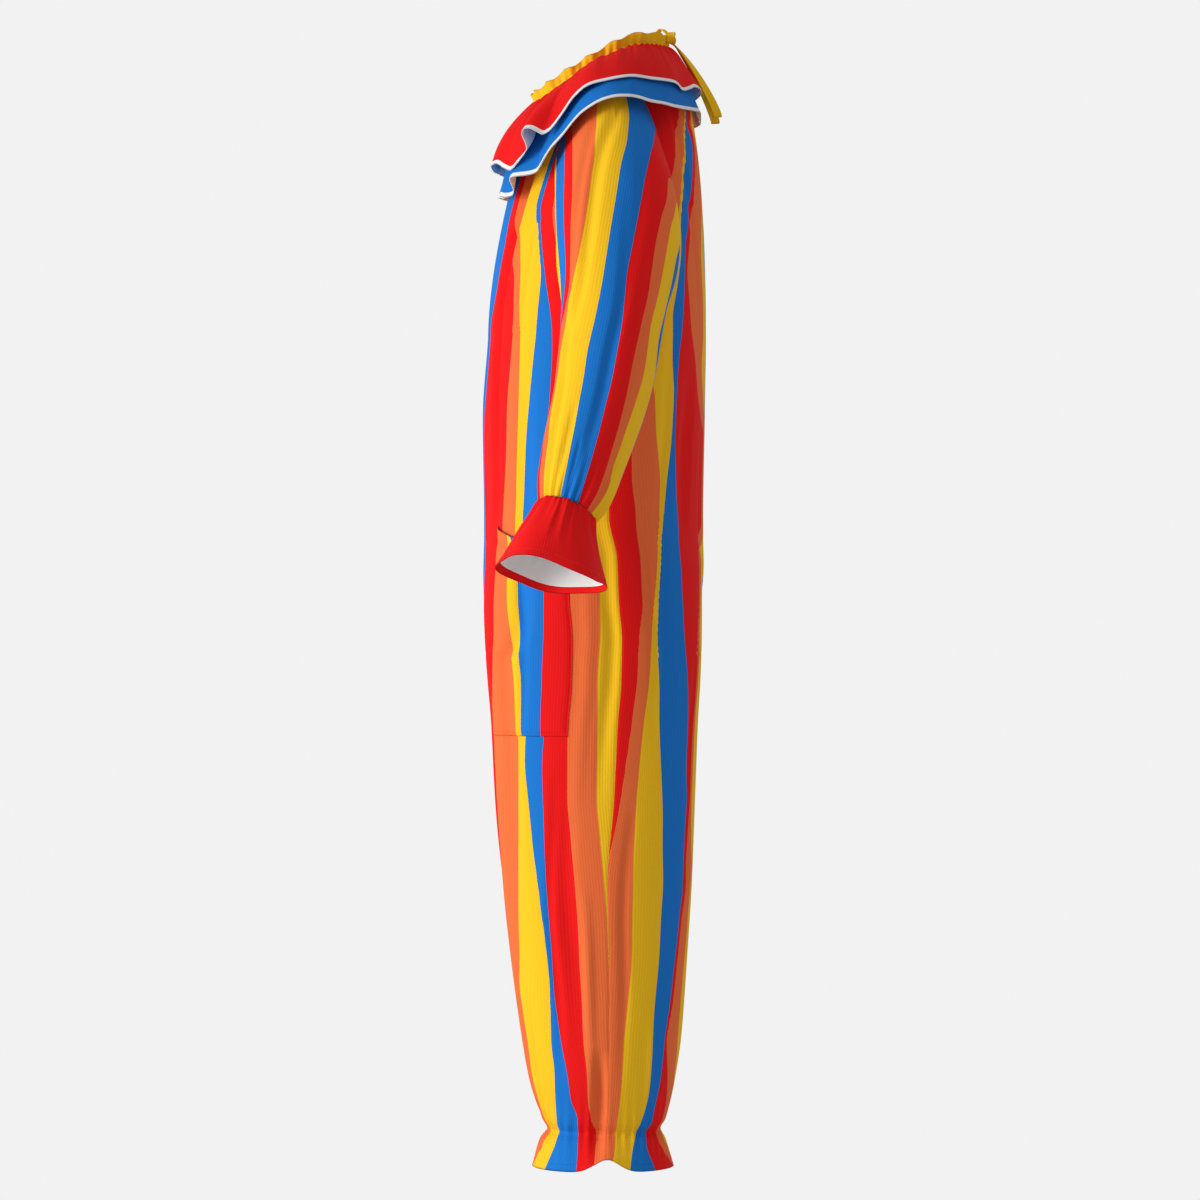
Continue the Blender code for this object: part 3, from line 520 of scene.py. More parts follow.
def level_rows(heights, face, shares):
    """Level rows of a left panel, from the centre line to the side seam, and the
    length of each."""
    points, length, seam = outlines(heights)
    total = seam if face == "front" else length[:, -1] - seam
    shares = np.broadcast_to(shares, (len(heights), np.shape(shares)[-1]))
    places = shares * total[:, None]
    if face == "back":
        places = length[:, -1:] - places
    rows = np.array(
        [
            [np.interp(at, run, row[:, axis]) for axis in (0, 1)]
            for at, run, row in zip(places, length, points)
        ]
    )
    levels = np.broadcast_to(heights[:, None], places.shape)
    return np.dstack([rows[:, 0], rows[:, 1], levels]), total


def level_out(rows):
    """The level direction square to each row, away from the body."""
    run = np.gradient(rows[:, :, :2], axis=1)
    out = unit(np.dstack([run[:, :, 1], -run[:, :, 0], np.zeros(rows.shape[:2])]))
    return out * np.sign(out[:, -1:, :1])


def leg_rows(heights, face, shares):
    """Rows of a panel from the chest down, with its long folds and the gathers at
    the ankle: troughs along slanting lines, and a sine that fades off the elastic."""
    rows, width = level_rows(heights, face, shares)
    at, wide = heights[:, None], width[:, None]
    depth = np.zeros(rows.shape[:2])
    for fold in FOLDS[face]:
        t = np.clip((fold.top - at) / (fold.top - fold.bottom), 0, 1)
        place = fold.top_place + (fold.bottom_place - fold.top_place) * t
        across = bump((shares - place) * wide / fold.half_width)
        depth -= fold.depth * np.sin(math.pi * t) * across
    ends = bump(2 * shares - 1) ** 0.3
    near = np.exp(-(((at - ANKLE) / GATHER_REACH) ** 2))
    depth += GATHER_DEPTH * near * ends * np.sin(2 * math.pi * ANKLE_GATHERS * shares)
    across = (1 - shares) * wide
    wander = across + 0.0025 * drift(across[0], 90 + len(face), 0.035)
    uneven = 1 + 0.6 * drift(across[0], 95 + len(face), 0.028)
    fine = np.exp(-np.abs((at - ANKLE) / np.where(at > ANKLE, 0.024, 0.016)))
    depth += 0.0019 * uneven * fine * ends * np.cos(2 * math.pi * wander / 0.0125)
    depth -= 0.0016 * np.exp(-(((at - ANKLE) / 0.0050) ** 2))
    return rows + level_out(rows) * depth[:, :, None], width


def neck(angle):
    """The neck seam: an ellipse from above, which climbs towards the back."""
    angle = np.asarray(angle, float)
    round_front = np.abs(np.degrees(angle))
    across = np.minimum(round_front, 360 - round_front)
    x = NECK_HALF_WIDTH * np.sin(angle)
    y = NECK_MIDDLE - NECK_HALF_DEPTH * np.cos(angle)
    return np.stack([x, y, column(NECKLINE, "height", across)], -1)


def at_shares(points, shares):
    """Points at these shares of a polyline's length."""
    steps = np.linalg.norm(np.diff(points, axis=0), axis=1)
    length = np.concatenate([[0], np.cumsum(steps)])
    return np.stack([np.interp(shares * length[-1], length, axis) for axis in points.T], -1)


def yoke_rows(face, places, shares):
    """The rows over the chest and shoulder, out to the armhole. Each column is a
    cubic that leaves the chest upwards and comes level to the top edge."""
    reach = 1 - column(ARMHOLE, face, places)
    inner = shares * reach[:, None]
    neckline = neck(np.linspace(0 if face == "front" else math.pi, SHOULDER_ANGLE, 60))
    seam = np.linspace(neckline[-1], SHOULDER_TIP, 40)[1:]
    top = at_shares(np.concatenate([neckline, seam]), inner)
    foot, width = level_rows(np.full(len(places), CHEST), face, inner)
    rise, run, lift = (
        column(YOKE[face], name, inner)[:, :, None] for name in ("rise", "run", "lift")
    )
    t = places[:, None, None]
    rows = (
        (1 + 2 * t) * (1 - t) ** 2 * foot
        + t * (1 - t) ** 2 * rise * (0, 0, 1)
        + t * t * (3 - 2 * t) * top
        + t * t * (t - 1) * (run * (0, 1, 0) + lift * (0, 0, 1))
    )
    return rows, (1 - inner) * width[:, None]


LEG_HEIGHTS = np.concatenate(
    [
        np.linspace(HEM, -1.300, 32),
        np.linspace(-1.2955, -1.215, 18),
        np.linspace(-1.207, -0.352, 108),
    ]
)
YOKE_PLACES = np.concatenate([np.linspace(0, 0.12, 9), np.linspace(0.14, 1, 36)])
EDGE_SHARES = (0.0012, 0.0034, 0.0068, 0.0115)
PANEL_SHARES = np.concatenate(
    [[0], EDGE_SHARES, np.linspace(0.018, 0.982, 129), 1 - np.array(EDGE_SHARES)[::-1], [1]]
)


def panel(face):
    """A left panel: its grid from hem to neck and centre line to side seam, how far
    each point is from the side seam along the cloth, and each row's level."""
    legs, width = leg_rows(LEG_HEIGHTS, face, PANEL_SHARES)
    away = (1 - PANEL_SHARES) * width[:, None]
    notch = HEM_NOTCH * np.exp(-((away[0] / HEM_NOTCH_WIDTH) ** 2))
    reach = np.clip((ANKLE - LEG_HEIGHTS) / (ANKLE - HEM), 0, 1) ** 1.6
    legs[:, :, 2] += reach[:, None] * (notch - HEM_DROP)
    yoke, yoke_away = yoke_rows(face, YOKE_PLACES, PANEL_SHARES)
    levels = np.concatenate([LEG_HEIGHTS, CHEST + YOKE_RISE * YOKE_PLACES])
    return np.concatenate([legs, yoke]), np.concatenate([away, yoke_away]), levels


def normals_of(grid, core, wrap=False):
    """Unit normals of a grid, by the cross product of its row and column steps,
    facing away from the core."""
    if wrap:
        along = np.roll(grid, -1, 1) - np.roll(grid, 1, 1)
    else:
        along = np.gradient(grid, axis=1)
    made = unit(np.cross(along, np.gradient(grid, axis=0)))
    from_core = np.where(np.isnan(core), 0, grid - np.nan_to_num(core))
    return made if (made * from_core).sum() > 0 else -made


def creased(grid, normals, away, levels, creases, edges):
    """The grid with soft troughs, each a bump across and half a sine along, that
    wander by up to 4 mm, and with its seam edges turned in by a millimetre."""
    at = levels[:, None]
    depth = np.zeros(grid.shape[:2])
    for number, c in enumerate(creases):
        t = np.clip((c.top - at) / (c.top - c.bottom), 0, 1)
        place = c.top_away + (c.bottom_away - c.top_away) * t
        place = place + 0.004 * drift(levels, 40 + number, 0.09)[:, None]
        depth += c.depth * np.sin(math.pi * t**0.85) * bump((away - place) / c.half_width)
    for edge in edges:
        depth += 0.0006 * np.exp(-((edge / 0.0016) ** 2))
    return grid - normals * depth[:, :, None]


def stripes_at(table, away, levels, before, after):
    """Stripe numbers: a whole number on each line of the table, and between lines
    in step with the distance. Past the first and last lines the stripes have these
    widths."""
    names = table[0]._fields[1:]
    lines = smooth(levels, [r[0] for r in table], [[getattr(r, n) for n in names] for r in table])
    order = np.sign(lines[0, -1] - lines[0, 0])
    at = np.broadcast_to(away, (len(levels), np.shape(away)[-1])) * order
    made = np.array([smooth(a, row, range(len(names))) for a, row in zip(at, lines * order)])
    first, last = lines[:, :1] * order, lines[:, -1:] * order
    before, after = np.reshape(before, (-1, 1)), np.reshape(after, (-1, 1))
    made += np.where(at < first, (at - first) / before, 0)
    return made + np.where(at > last, (at - last) / after, 0)


def centred(table, column_name, away, levels):
    """How many stripes there are from a table line to the centre line, in whole
    halves and the same above the crotch, and how wide they are at each level."""
    line = column(table, column_name, levels)
    gap = np.maximum(away[:, 0] * 1000 - line, 4)
    full = gap / (STRIPE * 1000)
    body = max(round(2 * float(full[levels > CROTCH].mean())) / 2, 0.5)
    t = np.clip((CROTCH - levels) / 0.09, 0, 1)
    count = body + (full - body) * t * t * (3 - 2 * t)
    return body, gap / np.maximum(count, 0.1)


def shell(
    name, grid, normals, thickness, materials, cloth_uv, stripe, wrap=False, bands=None, under=None
):
    """A closed shell: the grid as its outer skin, a second skin a thickness behind
    it, and a rounded rim between them. cloth_uv holds distances along the cloth and
    stripe the stripe numbers, both for each corner of the grid. The outer quads
    take the first material and the under ones the second, or those that bands and
    under give row by row."""
    rows, columns = grid.shape[:2]
    back = grid - normals * thickness
    edge_lines = [(0, slice(None)), (rows - 1, slice(None))]
    inward = {0: 1, rows - 1: rows - 2}
    rims = []
    for row, cols in edge_lines:
        outwards = unit(grid[row, cols] - grid[inward[row], cols])
        rims.append((grid[row, cols] + back[row, cols]) / 2 + outwards * thickness * 0.5)
    sides = []
    if not wrap:
        for col, inner in ((0, 1), (columns - 1, columns - 2)):
            outwards = unit(grid[:, col] - grid[:, inner])
            sides.append((grid[:, col] + back[:, col]) / 2 + outwards * thickness * 0.5)
        rims[0][[0, -1]], rims[1][[0, -1]] = (
            [sides[0][0], sides[1][0]],
            [sides[0][-1], sides[1][-1]],
        )
    points = np.concatenate([grid.reshape(-1, 3), back.reshape(-1, 3), *rims])
    number = np.arange(rows * columns).reshape(rows, columns)
    behind = number + rows * columns
    rim_rows = 2 * rows * columns + np.arange(2 * columns).reshape(2, columns)
    if not wrap:
        side_rows = np.empty((2, rows), int)
        side_rows[:, 1:-1] = len(points) + np.arange(2 * (rows - 2)).reshape(2, -1)
        side_rows[:, 0], side_rows[:, -1] = rim_rows[0, [0, -1]], rim_rows[1, [0, -1]]
        points = np.concatenate([points, sides[0][1:-1], sides[1][1:-1]])

    def strip(first, second, first_uv, second_uv):
        """Quads between two lines of points, with the grid places of their corners."""
        if wrap:
            first, second = np.append(first, first[0]), np.append(second, second[0])
        quads = np.stack([first[:-1], first[1:], second[1:], second[:-1]], 1)
        places = np.stack([first_uv[:-1], first_uv[1:], second_uv[1:], second_uv[:-1]], 1)
        return quads, places

    width = cloth_uv.shape[1]
    corner = np.arange(rows * width).reshape(rows, width)
    faces, places, slots = [], [], []

    def add(quads, at, slot, turned):
        order = [0, 3, 2, 1] if turned else [0, 1, 2, 3]
        faces.append(quads[:, order])
        places.append(at[:, order])
        slots.append(np.broadcast_to(slot, len(quads)))

    over = np.arange(columns if wrap else columns - 1)
    after = (over + 1) % columns
    low, high = number[:-1], number[1:]
    skin = np.stack([low[:, over], low[:, after], high[:, after], high[:, over]], 2).reshape(-1, 4)
    lower, upper = corner[:-1], corner[1:]
    skin_at = np.stack(
        [lower[:, over], lower[:, over + 1], upper[:, over + 1], upper[:, over]], 2
    ).reshape(-1, 4)
    middle = skin[len(skin) // 2]
    facing = np.cross(
        points[middle[2]] - points[middle[0]], points[middle[3]] - points[middle[1]]
    )
    flip = facing @ normals.reshape(-1, 3)[middle[0]] < 0
    banded = np.zeros(rows - 1, int) if bands is None else np.asarray(bands)
    add(skin, skin_at, np.repeat(banded, len(over)), flip)
    backed_by = np.ones(rows - 1, int) if under is None else np.asarray(under)
    add(skin + rows * columns, skin_at, np.repeat(backed_by, len(over)), not flip)
    for rim, row in ((0, 0), (1, rows - 1)):
        slot = banded[0 if rim == 0 else -1]
        uv_line = corner[row]
        add(*strip(number[row], rim_rows[rim], uv_line, uv_line), slot, flip == (rim == 0))
        add(*strip(rim_rows[rim], behind[row], uv_line, uv_line), slot, flip == (rim == 0))
    if not wrap:
        for side, col in ((0, 0), (1, columns - 1)):
            uv_line = corner[:, col]
            turned = flip == (side == 1)
            slot = banded
            add(*strip(number[:, col], side_rows[side], uv_line, uv_line), slot, turned)
            add(*strip(side_rows[side], behind[:, col], uv_line, uv_line), slot, turned)
    places = np.concatenate(places).ravel()
    uv = {"cloth": cloth_uv.reshape(-1, 2)[places]}
    stripe_uv = np.stack([stripe, np.zeros_like(stripe)], -1).reshape(-1, 2)
    uv["stripe"] = stripe_uv[places]
    return mesh_object(name, points, np.concatenate(faces), uv, np.concatenate(slots), materials)


def mesh_object(name, points, faces, uv, slots, materials):
    """An object at the origin from points, faces of equal count, UV maps by corner
    and a material number for each face."""
    mesh = bpy.data.meshes.new(name)
    mesh.from_pydata(points.tolist(), [], [list(face) for face in faces])
    for label, values in uv.items():
        layer = mesh.uv_layers.new(name=label)
        layer.uv.foreach_set("vector", values.astype(np.float32).ravel())
    for made in materials:
        mesh.materials.append(made)
    mesh.polygons.foreach_set("material_index", np.asarray(slots, np.int32))
    mesh.shade_smooth()
    mesh.update()
    made = bpy.data.objects.new(name, mesh)
    bpy.context.scene.collection.objects.link(made)
    return made


def along_cloth(grid, wrap=False):
    """Distances along the cloth: across from the first column and up from row 0."""
    closed = np.concatenate([grid, grid[:, :1]], 1) if wrap else grid
    across = np.linalg.norm(np.diff(closed, axis=1), axis=2)
    across = np.concatenate([np.zeros((len(grid), 1)), np.cumsum(across, 1)], 1)
    up = np.linalg.norm(np.diff(closed, axis=0), axis=2).mean(1)
    up = np.concatenate([[0], np.cumsum(up)])
    return np.dstack([across, np.broadcast_to(up[:, None], across.shape)])


def finished(made, slot, *nodes):
    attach(made, "root")
    if nodes:
        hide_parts(*nodes)
    return made


def stitches(name, runs, slot, material):
    """Running stitches along lines: short closed capsules a pitch apart, half sunk
    into the cloth. Each run is a line of points, with the cloth's normals and its
    stripe numbers there."""
    turn = np.linspace(0, 2 * math.pi, 6, endpoint=False)
    ring = np.stack([0 * turn, np.cos(turn), np.sin(turn)], 1)
    shape = np.concatenate(
        [[[-1, 0, 0]], ring + (-0.72, 0, 0), ring + (0.72, 0, 0), [[1, 0, 0]]]
    )
    first, second = np.arange(1, 7), np.arange(7, 13)
    quads = np.stack([first, np.roll(first, -1), np.roll(second, -1), second], 1)
    caps = np.concatenate(
        [
            np.stack([np.zeros(6, int), np.roll(first, -1), first], 1),
            np.stack([np.full(6, 13), second, np.roll(second, -1)], 1),
        ]
    )
    made, stripes = [], []
    for line, normals, stripe in runs:
        steps = np.linalg.norm(np.diff(line, axis=0), axis=1)
        length = np.concatenate([[0], np.cumsum(steps)])
        at = (np.arange(int(length[-1] / STITCH_PITCH)) + 0.5) * STITCH_PITCH

        def on_line(values, place):
            return np.stack([np.interp(place, length, axis) for axis in values.T], 1)

        along = on_line(line, at + 0.0008) - on_line(line, at - 0.0008)
        along = unit(along)
        out = unit(on_line(normals, at))
        across = unit(np.cross(out, along))
        centre = on_line(line, at) + out * THREAD * 0.3
        sizes = shape * (STITCH_LENGTH / 2, THREAD, THREAD)
        axes = np.stack([along, across, out], 1)
        made.append((centre[:, None] + np.einsum("pk,skx->spx", sizes, axes)).reshape(-1, 3))
        stripes.append(np.interp(at, length, stripe))
    points = np.concatenate(made)
    starts = np.arange(0, len(points), 14)[:, None, None]
    faces = (quads + starts).reshape(-1, 4).tolist() + (caps + starts).reshape(-1, 3).tolist()
    stripes = np.concatenate(stripes)
    of_corners = np.concatenate([np.repeat(stripes, 6 * 4), np.repeat(stripes, 12 * 3)])
    uv = {"cloth": np.zeros((len(of_corners), 2))}
    uv["stripe"] = np.stack([of_corners, np.zeros_like(of_corners)], 1)
    piece = mesh_object(name, points, faces, uv, np.zeros(len(faces)), [material])
    return finished(piece, slot)


def mirrored(grid):
    return grid * (-1, 1, 1)


# ---- Materials ----


class CostumeSettings(bpy.types.PropertyGroup):
    """The colours and sizes of the costume's cloth."""

    def colour(name, description, value):
        return bpy.props.FloatVectorProperty(
            name=name, description=description, default=value, size=3, min=0, max=1,
            subtype="COLOR",
        )

    def size(name, description, value):
        return bpy.props.FloatProperty(
            name=name, description=description, default=value, min=0, precision=5,
            subtype="DISTANCE", unit="LENGTH",
        )

    red: colour("Red", "Red stripes, cuffs and upper ruffle", (0.79, 0.0065, 0.0070))
    orange: colour("Orange", "Orange stripes", (0.80, 0.148, 0.040))
    yellow: colour("Yellow", "Yellow stripes, casing and tie", (0.86, 0.50, 0.012))
    blue: colour("Blue", "Blue stripes and lower ruffle", (0.0085, 0.165, 0.560))
    white: colour("White", "Undersides of the ruffles and cuffs, and their hems", (0.80, 0.80, 0.80))
    cloth: size("Cloth", "Thickness of the striped cloth", 0.0010)
    ruffle: size("Ruffle cloth", "Thickness of the ruffles and cuffs", 0.0009)
    tape: size("Tape", "Thickness of the tie", 0.0012)
    tape_width: size("Tape width", "Width of the tie", 0.010)
    rib: size("Rib", "Distance from one rib of the knit to the next", 0.0034)
    collar_hem: size("Collar hem", "Width of the white hem on each ruffle", 0.0042)
    cuff_hem: size("Cuff hem", "Depth of the red hem inside each cuff", 0.0085)


class StageSettings(bpy.types.PropertyGroup):
    """The light and the ground that the costume is shown on."""

    ground: bpy.props.FloatVectorProperty(
        name="Ground", description="Colour of the floor and backdrop",
        default=(0.888, 0.888, 0.888), size=3, min=0, max=1, subtype="COLOR",
    )
    ambient: bpy.props.FloatProperty(
        name="Ambient", description="Strength of the light from all round", default=0.56, min=0
    )
    key: bpy.props.FloatProperty(
        name="Key", description="Power of the large lamp in front", default=141, min=0,
        unit="POWER",
    )
    lens: bpy.props.FloatProperty(
        name="Lens", description="Focal length of the camera", default=141.73, min=1,
        unit="CAMERA",
    )


def new_group(name, inputs, outputs):
    group = bpy.data.node_groups.new(name, "ShaderNodeTree")
    for label, kind in inputs:
        group.interface.new_socket(label, in_out="INPUT", socket_type=kind)
    for label, kind in outputs:
        group.interface.new_socket(label, in_out="OUTPUT", socket_type=kind)
    return group, group.nodes.new("NodeGroupInput"), group.nodes.new("NodeGroupOutput")


def math_node(nodes, links, operation, *values):
    made = nodes.new("ShaderNodeMath")
    made.operation = operation
    for socket, value in zip(made.inputs, values):
        if isinstance(value, (int, float)):
            socket.default_value = value
        else:
            links.new(value, socket)
    return made.outputs[0]


def knit_group():
    """Fine ribs that run up the cloth: a sine across it, roughened by noise. Height
    is for a bump. Shade is painted shade that darkens the rib valleys, with uneven
    tone from the noise, for multiplying into the colour."""
    name = "Knit ribs"
    if name in bpy.data.node_groups:
        return bpy.data.node_groups[name]
    group, entry, leave = new_group(
        name,
        (("Vector", "NodeSocketVector"), ("Rib", "NodeSocketFloat"), ("Depth", "NodeSocketFloat")),
        (("Height", "NodeSocketFloat"), ("Shade", "NodeSocketFloat")),
    )
    nodes, links = group.nodes, group.links
    apart = nodes.new("ShaderNodeSeparateXYZ")
    links.new(entry.outputs["Vector"], apart.inputs[0])
    turns = math_node(nodes, links, "DIVIDE", apart.outputs["X"], entry.outputs["Rib"])
    ribs = math_node(
        nodes, links, "SINE", math_node(nodes, links, "MULTIPLY", turns, 2 * math.pi)
    )
    noise = nodes.new("ShaderNodeTexNoise")
    links.new(entry.outputs["Vector"], noise.inputs["Vector"])
    noise.inputs["Scale"].default_value = 160.0
    noise.inputs["Detail"].default_value = 3.0
    rough = math_node(nodes, links, "MULTIPLY_ADD", noise.outputs[0], 0.8, -0.4)
    height = math_node(nodes, links, "MULTIPLY_ADD", ribs, 0.5, rough)
    links.new(height, leave.inputs["Height"])
    # Painted shade: the rib valleys are darkened in the colour, with uneven tone from the noise.
    shade_and_tone = math_node(nodes, links, "MULTIPLY", height, entry.outputs["Depth"])
    links.new(math_node(nodes, links, "ADD", shade_and_tone, 0.985), leave.inputs["Shade"])
    return group


def tinted(nodes, links, shade, colour):
    """A colour darkened where the shade is under 1."""
    mix = nodes.new("ShaderNodeMix")
    mix.data_type, mix.blend_type = "RGBA", "MULTIPLY"
    mix.inputs["Factor"].default_value = 1.0
    links.new(shade, mix.inputs["B"])
    if isinstance(colour, tuple):
        mix.inputs["A"].default_value = (*colour, 1.0)
    else:
        links.new(colour, mix.inputs["A"])
    return mix.outputs["Result"]


def stripe_colours(nodes, links, settings, towards=None, share=0.0):
    """Red, orange, yellow and blue by the whole part of the stripe number, and all
    of them faded by this share towards another colour on the wrong side."""
    at = nodes.new("ShaderNodeUVMap")
    at.uv_map = "stripe"
    apart = nodes.new("ShaderNodeSeparateXYZ")
    links.new(at.outputs[0], apart.inputs[0])
    turn = math_node(
        nodes, links, "FRACT", math_node(nodes, links, "DIVIDE", apart.outputs["X"], 4.0)
    )
    ramp = nodes.new("ShaderNodeValToRGB")
    ramp.color_ramp.interpolation = "CONSTANT"
    stops = ramp.color_ramp.elements
    while len(stops) < 4:
        stops.new(0.5)
    colours = (settings.red, settings.orange, settings.yellow, settings.blue)
    for number, (stop, colour) in enumerate(zip(stops, colours)):
        stop.position = number / 4
        paler = [c * (1 - share) + t * share for c, t in zip(colour, towards or colour)]
        stop.color = (*paler, 1.0)
    links.new(turn, ramp.inputs[0])
    return ramp.outputs[0]


def cloth_material(name, settings, colour=None, roughness=0.82, depth=0.050, relief=0.35, wrong=False):
    """Matte knitted cloth in one colour, or striped where no colour is given. depth sets how much
    painted shade darkens the rib valleys, together with uneven tone.
    """
    made = bpy.data.materials.get(name)
    if made is not None:
        return made
    made = bpy.data.materials.new(name)
    made.use_nodes = True
    nodes, links = made.node_tree.nodes, made.node_tree.links
    shader = nodes["Principled BSDF"]
    shader.inputs["Roughness"].default_value = roughness
    shader.inputs["Specular IOR Level"].default_value = 0.12
    at = nodes.new("ShaderNodeUVMap")
    at.uv_map = "cloth"
    knit = nodes.new("ShaderNodeGroup")
    knit.node_tree = knit_group()
    knit.inputs["Rib"].default_value = settings.rib
    knit.inputs["Depth"].default_value = depth
    links.new(at.outputs[0], knit.inputs["Vector"])
    if colour is None:
        faded = (tuple(settings.white), 0.72) if wrong else (None, 0.0)
        colour = stripe_colours(nodes, links, settings, *faded)
    else:
        colour = tuple(colour)
    # Painted shade: the knit's Shade darkens the base colour in the rib valleys.
    links.new(tinted(nodes, links, knit.outputs["Shade"], colour), shader.inputs["Base Color"])
    relief_node = nodes.new("ShaderNodeBump")
    relief_node.inputs["Strength"].default_value = relief
    relief_node.inputs["Distance"].default_value = 0.0004
    links.new(knit.outputs["Height"], relief_node.inputs["Height"])
    links.new(relief_node.outputs[0], shader.inputs["Normal"])
    return made


def thread_material(name, colour):
    made = bpy.data.materials.get(name)
    if made is None:
        made = bpy.data.materials.new(name)
        made.use_nodes = True
        shader = made.node_tree.nodes["Principled BSDF"]
        shader.inputs["Base Color"].default_value = (*colour, 1.0)
        shader.inputs["Roughness"].default_value = 0.6
    return made


def striped(settings):
    return [
        cloth_material("striped_knit", settings),
        cloth_material("striped_knit_wrong_side", settings, wrong=True),
    ]


def backed(settings, name, colour):
    """The materials of a ruffle or cuff: its colour, the white underside, the hem."""
    white = tuple(settings.white)
    return [
        cloth_material(f"{name}_knit", settings, tuple(colour)),
        cloth_material("white_lining", settings, white, depth=0.02, relief=0.15),
        cloth_material("white_hem", settings, white, depth=0.01, relief=0.1),
    ]


# ---- Pieces ----

SIDES = (("left", 1), ("right", -1))


def turned(side, grid):
    return grid if side > 0 else mirrored(grid)


BODY_CORE = np.array([0.06, -0.01, math.nan])


def panel_skin(face):
    """The left panel as its outer skin, with its creases and turned-in edges."""
    grid, away, levels = panel(face)
    normals = normals_of(grid, BODY_CORE)
    edges = (away[:, :1] - away, away - away[:, -1:])
    grid = creased(grid, normals, away, levels, CREASES[face], edges)
    return grid, normals_of(grid, BODY_CORE), away, levels


def hung_leg(side, grid):
    """The panel on its side. The right leg's hem hangs narrower from front to back,
    by up to a fifth."""
    made = turned(side, grid)
    if side > 0:
        return made
    low = np.clip((ANKLE + 0.020 - made[:, :, 2]) / 0.045, 0, 1)
    narrow = 1 - 0.21 * low * low * (3 - 2 * low)
    made = made.copy()
    made[:, :, 1] *= narrow
    return made


class COSTUME_OT_panels(bpy.types.Operator):
    """Makes the four striped panels of the body and legs"""

    bl_idname = "costume.panels"
    bl_label = "Body panels"

    def execute(self, context):
        settings = context.scene.costume
        hems = []
        for face, table in (("front", FRONT_LINES), ("back", BACK_LINES)):
            grid, normals, away, levels = panel_skin(face)
            if face == "front":
                count, width = centred(table, "a", away, levels)
                stripe = stripes_at(table, away * 1000, levels, width, STRIPE * 1000) - 1
                middle = -1 - count
            else:
                count, width = centred(table, "g", away, levels)
                beside = np.interp(levels, (-0.26, -0.21), (STRIPE * 1000, 80))
                stripe = stripes_at(table, away * 1000, levels, beside, width) + 1
                middle = 7 + count
            cloth_uv = along_cloth(grid)
            cloth_uv[:, :, 0] = stripe * STRIPE
            for side_name, side in SIDES:
                own = stripe if side > 0 else 2 * middle - stripe
                made = shell(
                    f"{face}_{side_name}_cloth", hung_leg(side, grid), turned(side, normals),
                    settings.cloth, striped(settings), cloth_uv, own,
                )
                finished(made, "striped_cloth", f"{face}_{side_name}")
                worn, out = hung_leg(side, grid), turned(side, normals)
                for level in (HEM + 0.007, ANKLE - 0.0035, ANKLE + 0.0035):
                    row = int(np.abs(levels - level).argmin())
                    hems.append((worn[row], out[row], own[row]))
        stitches("ankle_stitches", hems, "striped_cloth", striped(settings)[0])
        return {"FINISHED"}


def arm_angles(front, back):
    """The left armhole, from the shoulder tip down its front and up its back, and
    the angle that each of its points has round the sleeve."""
    first = len(LEG_HEIGHTS)
    down, up = front[first:, -1][::-1], back[first:, -1]
    tip, foot = (down[:1] + up[-1:]) / 2, (down[-1:] + up[:1]) / 2
    halves = (np.concatenate([tip, down[1:-1], foot]), np.concatenate([foot, up[1:-1], tip]))
    t = np.linspace(0, 1, 73)
    t = t - 0.02 * np.sin(4 * math.pi * t)
    start = np.concatenate([at_shares(halves[0], t), at_shares(halves[1], t)[1:-1]])
    return start, np.concatenate([math.pi * t, math.pi * (1 + t[1:-1])])


def ring_points(ring, angles):
    """Points round an arm section, from its top round by the front: an ellipse in
    a plane tilted outwards and forwards."""
    out, forward = math.radians(ring.out), math.radians(ring.forward)
    level, ahead = math.sin(out) * math.cos(forward), -math.sin(forward)
    axis = np.array([level, ahead, -math.cos(out) * math.cos(forward)])
    top = np.array([math.cos(out), 0, math.sin(out)])
    across = np.outer(ring.across * np.cos(angles), top)
    along = np.outer(ring.depth * np.sin(angles), np.cross(axis, top))
    return np.array([ring.x, ring.y, ring.z]) + across + along


def lofted(rings, at):
    """A smooth tube through rings of equal count, with rings of its own at these
    shares of its length."""
    rings = np.array(rings)
    gaps = np.linalg.norm(np.diff(rings.mean(axis=1), axis=0), axis=1)
    places = np.concatenate([[0], np.cumsum(gaps)])
    return smooth(at * places[-1], places, rings)


# Soft folds of the left sleeve, by share of its length and degrees from its top.
ArmFold = namedtuple("ArmFold", "top bottom top_turn bottom_turn depth half_turn")
ARM_FOLDS = (
    ArmFold(0.04, 0.66, -6, 68, 0.0062, 12),
    ArmFold(0.44, 1.02, 62, 44, 0.0056, 13),
    ArmFold(0.06, 0.44, 18, 62, 0.0030, 9),
    ArmFold(0.28, 1.00, -12, -5, 0.0046, 11),
    ArmFold(0.08, 0.50, -30, -18, 0.0026, 10),
    ArmFold(0.30, 0.98, -44, -36, 0.0030, 9),
    ArmFold(0.12, 0.62, 84, 96, 0.0040, 13),
    ArmFold(0.20, 0.90, -82, -74, 0.0038, 13),
    ArmFold(0.26, 0.72, 128, 118, 0.0040, 15),
    ArmFold(0.22, 0.66, -134, -122, 0.0042, 15),
    ArmFold(0.50, 0.98, 150, 140, 0.0030, 12),
    ArmFold(0.74, 1.03, 24, 22, 0.0034, 8),
    ArmFold(0.84, 1.04, 5, 4, 0.0026, 5),
    ArmFold(0.88, 1.04, -24, -23, 0.0026, 6),
    ArmFold(0.82, 1.04, -58, -55, 0.0026, 6),
    ArmFold(0.86, 1.04, 75, 76, 0.0026, 6),
)


